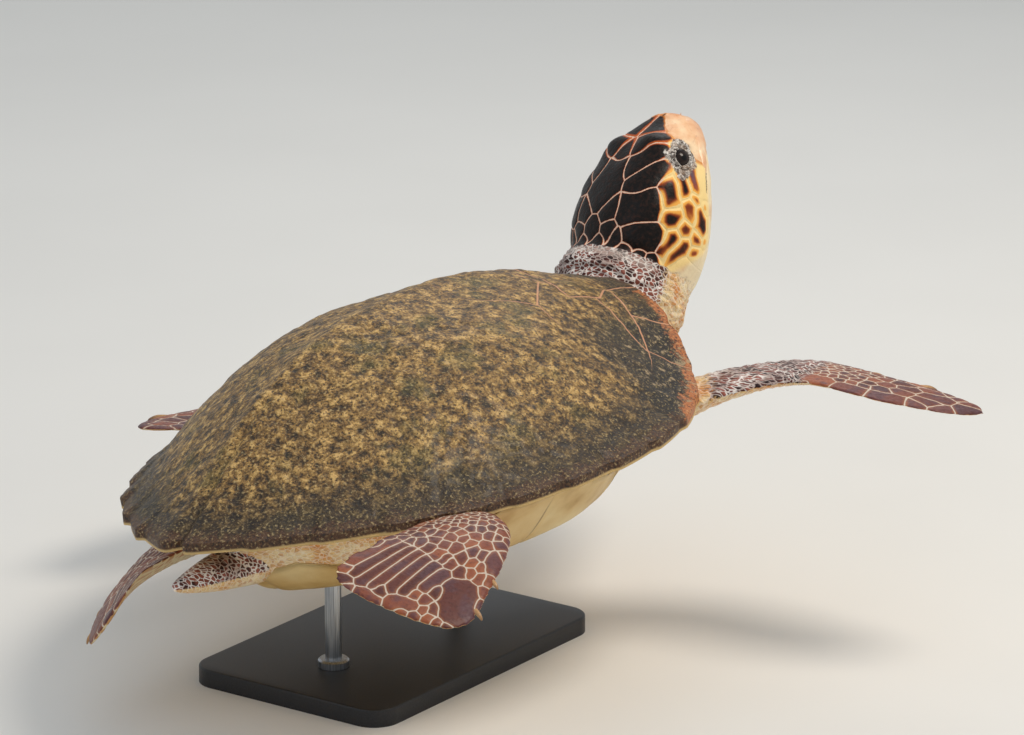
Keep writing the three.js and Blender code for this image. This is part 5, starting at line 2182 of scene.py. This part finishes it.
@dataclass(frozen=True)
class EyeLens:
    """A wet dark eye: black pupil, very dark brown iris, the soft gloss of a cornea under water."""

    def dress(self) -> bpy.types.Material:
        """Makes the material.

        Returns:
            The material.
        """
        material, tree, _ = blank("eye_cornea")
        off = add(tree, "Attribute", out=2, attribute_name="off_gaze")
        colour = paint(tree, "#22140d", "#140c09", off, 20, 45)
        colour = paint(tree, "#050404", colour, off, 11, 17)
        shine(tree, colour, 0.16, [], IOR=1.38)
        return material


@dataclass(frozen=True)
class ClawHorn:
    """Claw keratin: amber at the root, darker and polished at the tip."""

    grain: float = 3.5  # millimetres

    def dress(self) -> bpy.types.Material:
        """Makes the material.

        Returns:
            The material.
        """
        material, tree, spot = blank("keratin_claw")
        along = add(tree, "Attribute", out=2, attribute_name="along")
        grain = add(tree, "TexNoise", {"Vector": spot, "Scale": 1 / self.grain, "Detail": 3.0})
        colour = paint(tree, "#c79a66", "#5a3a26", along, 0, 15)
        colour = paint(tree, colour, "#8d6442", grain, 0.3, 0.7, 0.5)
        shine(tree, colour, 0.3, [(grain, 0.25 * MM)], IOR=1.5)
        return material


@dataclass(frozen=True)
class PowderCoat:
    """Powder coated steel plate: satin black with a fine orange peel."""

    peel: float = 1.8  # millimetres

    def dress(self) -> bpy.types.Material:
        """Makes the material.

        Returns:
            The material.
        """
        material, tree, spot = blank("powder_coated_steel")
        peel = add(tree, "TexNoise", {"Vector": spot, "Scale": 1 / self.peel, "Detail": 2.0})
        colour = paint(tree, "#17171a", "#222226", peel, 0.35, 0.65)
        shine(tree, colour, 0.42, [(peel, 0.08 * MM)], IOR=1.5)
        return material


@dataclass(frozen=True)
class BrushedSteel:
    """Brushed stainless steel: grey, with fine lines drawn along the rod."""

    line: tuple[float, float] = (0.9, 45.0)  # millimetres across and along

    def dress(self) -> bpy.types.Material:
        """Makes the material.

        Returns:
            The material.
        """
        material, tree, spot = blank("stainless_steel_brushed")
        across, along = self.line
        drawn = add(tree, "Mapping", {"Vector": spot, "Scale": (1 / across, 1 / across, 1 / along)})
        line = add(tree, "TexNoise", {"Vector": drawn, "Scale": 1.0, "Detail": 2.0})
        colour = paint(tree, "#8d9094", "#c4c7ca", line, 0.3, 0.7)
        shine(tree, colour, 0.28, [(line, 0.03 * MM)], Metallic=1.0)
        return material


@dataclass(frozen=True)
class StudioPaper:
    """Matt background paper: a pale warm grey, clouded so faintly that it only looks real."""

    cloud: float = 400.0  # millimetres

    def dress(self) -> bpy.types.Material:
        """Makes the material.

        Returns:
            The material.
        """
        material, tree, spot = blank("paper_matt")
        cloud = add(tree, "TexNoise", {"Vector": spot, "Scale": 1 / self.cloud, "Detail": 2.0})
        shine(tree, paint(tree, "#eae9e5", "#ecebe7", cloud, 0.3, 0.7), 0.9, [])
        return material


# ---------------------------------------------------------------- stand and studio
@dataclass
class Stand:
    """The display stand: a bevelled base plate and two rods with collars."""

    place: Placement
    shell: Shell
    size: tuple[float, float, float] = (400.0, 260.0, 20.0)
    corner: float = 30.0
    edge: float = 2.5
    rod_radius: float = 9.0
    collar: tuple[float, float] = (17.0, 9.0)  # radius and height
    rods: tuple[tuple[str, float], ...] = (("front", 120.0), ("rear", -110.0))  # names and places ahead

    def base(self) -> bpy.types.Object:
        """Models the base plate.

        Returns:
            The plate.
        """
        deselect_all()
        x, y, z = self.size
        bpy.ops.mesh.primitive_cube_add(size=1, location=(0, 0, z / 2 * MM), scale=(x * MM, y * MM, z * MM))
        piece = bpy.context.object
        piece.name = piece.data.name = "stand_plate"
        bpy.ops.object.transform_apply(location=True, rotation=True, scale=True)
        for width, segments, upright in ((self.corner, 16, True), (self.edge, 4, False)):
            ends = points_of(piece)[edges_of(piece)]
            rising = np.abs(ends[:, 0, 2] - ends[:, 1, 2]) > z / 2 * MM
            top = (ends[..., 2] > (z - 0.01) * MM).all(1)
            select_elements(piece, Element.EDGE, rising if upright else top)
            bpy.ops.mesh.bevel(offset=width * MM, segments=segments)
            bpy.ops.object.mode_set(mode="OBJECT")
        bpy.ops.object.shade_smooth_by_angle(angle=math.radians(35))
        return piece

    def rod(self, name: str, x: float) -> bpy.types.Object:
        """Models a rod turned with a collar at its foot and a rounded pad under the belly.

        Args:
            name: which rod.
            x: its place ahead in the shared frame, in millimetres.

        Returns:
            The rod.
        """
        x_body, height = x, 0.0
        for _ in range(4):
            _, _, rim, r = self.shell.polar(np.array([[x_body, 0.0]]))
            under = np.array([x_body, 0.0, float(self.shell.bottom(rim, r)[0])])
            world = self.place.world(under) / MM
            x_body += x - world[0]
            height = float(world[2])
        foot, (wide, tall), radius = self.size[2] + 0.4, self.collar, self.rod_radius
        lip, pad, gap = 2.0, 3.5, 1.0  # the collar's chamfer, how wide the pad is, how far it sinks in
        profile = np.array([
            (0, foot), (wide, foot), (wide, foot + tall - lip), (wide - lip, foot + tall),
            (radius, foot + tall), (radius, height - 8), (radius + pad, height - 5),
            (radius + pad, height + gap), (0, height + gap),
        ])
        steps = np.linspace(0, len(profile) - 1, 2 * (len(profile) - 1) + 1)

        def place(u: np.ndarray, v: np.ndarray) -> np.ndarray:
            """Turns the profile round the rod's middle.

            Args:
                u: share of the way round.
                v: share of the profile.

            Returns:
                Places in metres.
            """
            at = steps[np.round(v * (len(steps) - 1)).astype(int)]
            wide_at, up = (np.interp(at, np.arange(len(profile)), profile[:, k]) for k in (0, 1))
            angle = 2 * math.pi * u
            return np.stack([x + wide_at * np.cos(angle), wide_at * np.sin(angle), up], -1) * MM

        piece = rolled_grid(f"stand_post_{name}", 48, len(steps) - 1, place)
        bpy.ops.object.shade_smooth_by_angle(angle=math.radians(35))
        return piece


@dataclass
class Studio:
    """A pale floor, soft light and the camera."""

    place: Placement
    turned: float = 54.5  # degrees, the way the camera looks, from the left towards ahead
    raised: float = 17.0
    anchor: tuple[float, float, float] = (369.0, 0.0, 90.0)  # middle of the nape scute, in the body frame
    offset: tuple[float, float, float] = (6.43, 0.0746, 0.1034)  # metres back, left and down from it
    lens: float = 200.0
    film: float = 36.0
    sight: float = 50.0  # metres, past which the camera sees nothing
    middle: tuple[float, float, float] = (0.1, 0.0, 0.3)  # metres, where the lamps point
    daylight: float = 0.6
    floor_size: float = 90.0  # metres

    def axes(self) -> tuple[Vector, Vector, Vector]:
        """Works out the camera's axes.

        Returns:
            Unit vectors ahead, right and up.
        """
        turned, raised = math.radians(self.turned), math.radians(self.raised)
        level = math.cos(raised)
        ahead = Vector((math.sin(turned) * level, math.cos(turned) * level, -math.sin(raised)))
        right = Vector((math.cos(turned), -math.sin(turned), 0))
        return ahead, right, right.cross(ahead)

    def camera(self) -> None:
        """Places the camera."""
        ahead, right, up = self.axes()
        data = bpy.data.cameras.new("camera")
        data.lens, data.sensor_width, data.clip_end = self.lens, self.film, self.sight
        camera = bpy.data.objects.new("camera", data)
        bpy.context.scene.collection.objects.link(camera)
        anchor = Vector(self.place.world(np.array(self.anchor)))
        back, left, down = self.offset
        camera.location = anchor - back * ahead - left * right - down * up
        camera.rotation_euler = Matrix((right, up, -ahead)).transposed().to_euler()
        bpy.context.scene.camera = camera

    def lights(self) -> None:
        """Hangs the soft lights."""
        ahead, right, up = self.axes()
        middle = Vector(self.middle)
        world = bpy.data.worlds.new("studio")
        world.use_nodes = True
        sky = world.node_tree.nodes["Background"].inputs
        sky["Color"].default_value, sky["Strength"].default_value = linear("#e6ebef"), self.daylight
        bpy.context.scene.world = world
        bpy.context.scene.view_settings.view_transform = "Standard"
        hung = [  # name, place, size in metres, power in watts, colour
            ("key", middle - 1.0 * ahead + 1.5 * right + 2.4 * up, 1.2, 46, "#fff3e4"),
            ("fill", middle - 2.0 * ahead - 2.2 * right + 1.2 * up, 2.2, 9, "#e8f0ff"),
            ("rim", middle + 1.6 * ahead + 0.4 * right + 2.4 * up, 1.4, 8, "#ffffff"),
        ]
        for name, spot, size, power, colour in hung:
            data = bpy.data.lights.new(name, "AREA")
            data.shape, data.size, data.energy, data.color = "DISK", size, power, linear(colour)[:3]
            light = bpy.data.objects.new(name, data)
            bpy.context.scene.collection.objects.link(light)
            light.location = spot
            light.rotation_euler = (middle - spot).to_track_quat("-Z", "Y").to_euler()

    def floor(self) -> None:
        """Lays the floor."""
        deselect_all()
        bpy.ops.mesh.primitive_plane_add(size=self.floor_size)
        floor = bpy.context.object
        floor.name = "studio_floor"
        floor.data.materials.append(StudioPaper().dress())


# ---------------------------------------------------------------- the turtle
def flippers(place: Placement) -> list[Flipper]:
    """Gives the four flippers in their poses.

    Args:
        place: how the body lies.

    Returns:
        Front right, front left, hind right and hind left.
    """
    front = {
        "fore": [(0, 44), (0.2, 44), (0.4, 48), (0.6, 55), (0.8, 44), (0.93, 26), (1, 10)],
        "aft": [(0, 50), (0.2, 46), (0.4, 46), (0.6, 62), (0.8, 56), (0.93, 36), (1, 14)],
        "thick": [(0, 70), (0.25, 48), (0.45, 32), (0.65, 22), (0.85, 14), (1, 7)],
        "claws": (0.66, 0.82), "claw_size": 1.0,
        "scale_start": 0.585, "edge_scale": (30, 19), "inner_scale": (8, 18), "stretch": 1.6,
        "marks": [
            (0.575, -0.74, 0.645, -0.8, 9), (0.69, -0.8, 0.73, -0.82, 8), (0.77, -0.8, 0.815, -0.83, 8),
        ],
    }
    hind = {
        "thick": [(0, 60), (0.35, 42), (0.6, 22), (0.85, 12), (1, 8)],
        "claws": (0.72, 0.87), "claw_size": 0.55,
        "scale_start": 0.36, "edge_scale": (24, 26), "inner_scale": (6, 9), "stretch": 1.8,
        "marks": [
            (0.82, 0.62, 0.905, 0.72, 15), (0.965, -0.14, 0.95, 0.07, 6), (0.98, -0.62, 0.98, -0.45, 4),
            (0.65, 0.85, 0.675, 0.9, 7), (0.69, -0.78, 0.875, -0.92, 1), (0.7, -0.6, 0.905, -0.77, 1),
            (0.72, -0.46, 0.935, -0.63, 1), (0.73, -0.3, 0.93, -0.47, 1.5), (0.745, -0.13, 0.92, -0.27, 2),
            (0.76, 0.06, 0.905, -0.09, 3), (0.78, 0.24, 0.86, 0.1, 4),
        ],
    }
    return [
        Flipper(
            place, "front_right", Side.RIGHT,
            path=[
                (205, 110, -40), (250, 180, -22), (296, 244, -2), (342, 312, 3), (354, 425, -14),
                (370, 522, -36),
            ],
            lead=[(0, (0.8, -0.6, 0)), (0.5, (0.8, -0.6, -0.1)), (1, (0.9, -0.4, 0))], **front,
        ),
        Flipper(
            place, "front_left", Side.LEFT,
            path=[
                (205, 110, -40), (248, 185, -40), (270, 260, -48), (235, 328, -52), (165, 366, -44),
                (90, 378, -28), (20, 372, -12),
            ],
            lead=[(0, (0.8, -0.6, 0)), (0.35, (0.9, 0.1, 0.1)), (0.6, (0.35, 0.9, 0.1)), (1, (0, 1, 0))],
            **front,
        ),
        Flipper(
            place, "hind_right", Side.RIGHT,
            path=[
                (-110, 110, -45), (-150, 178, -28), (-204, 234, -10), (-260, 264, -8), (-322, 280, -18),
                (-392, 296, -36),
            ],
            lead=[(0, (0.6, 0.2, 0)), (0.5, (0.7, 0.7, -0.2)), (1, (0.42, 0.75, -0.36))],
            fore=[(0, 42), (0.3, 48), (0.5, 58), (0.75, 66), (0.91, 67), (1, 46)],
            aft=[(0, 42), (0.3, 40), (0.5, 48), (0.75, 66), (0.91, 82), (1, 68)], **hind,
        ),
        Flipper(
            place, "hind_left", Side.LEFT,
            path=[
                (-110, 105, -50), (-158, 138, -58), (-208, 153, -66), (-262, 152, -74), (-315, 140, -82),
                (-362, 122, -92),
            ],
            lead=[(0, (0.2, 0.9, 0)), (0.5, (0.1, 0.9, -0.4)), (1, (0.1, 0.7, -0.7))],
            fore=[(0, 40), (0.3, 40), (0.5, 46), (0.75, 52), (0.91, 52), (1, 34)],
            aft=[(0, 40), (0.3, 36), (0.5, 40), (0.75, 52), (0.91, 60), (1, 48)], **hind,
        ),
    ]


def main() -> None:
    """Builds the turtle, its stand and the studio."""
    logging.basicConfig(level=logging.INFO, format="%(name)s: %(message)s")
    nodes = sorted(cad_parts)
    scutes = [name for name in nodes if name.startswith(("scute_", "scutes_"))]
    place = Placement()
    studio = Studio(place)
    studio.camera()
    studio.lights()
    studio.floor()

    shell = Shell(place)
    deliver(shell.carapace(), scutes, CarapaceKeratin().dress())
    deliver(shell.plastron(), ["plastron"], PlastronKeratin().dress())

    head = Head(place)
    limbs = flippers(place)
    flesh = Flesh(place, shell, head, Neck(place, head), Tail(place), limbs)
    soft = ["head", "lower_jaw", "neck", "tail", "trunk", *(f"flipper_{limb.name}" for limb in limbs)]
    deliver(flesh.build(), soft, ScalySkin().dress())

    horn = BeakHorn().dress()
    for piece, node in zip(head.beaks(), ("beak_upper", "beak_lower")):
        deliver(piece, [node], horn)
    lens = EyeLens().dress()
    for hand in Side:
        deliver(head.eye(hand), [f"eye_{hand.name.lower()}"], lens)
    claw = ClawHorn().dress()
    for limb in limbs:
        for index in range(len(limb.claws)):
            deliver(limb.claw(index), [f"claw_{limb.name}_{index + 1}"], claw)

    stand = Stand(place, shell)
    deliver(stand.base(), ["stand_base"], PowderCoat().dress())
    steel = BrushedSteel().dress()
    for name, x in stand.rods:
        deliver(stand.rod(name, x), [f"stand_rod_{name}"], steel)


if __name__ == "__main__":
    main()
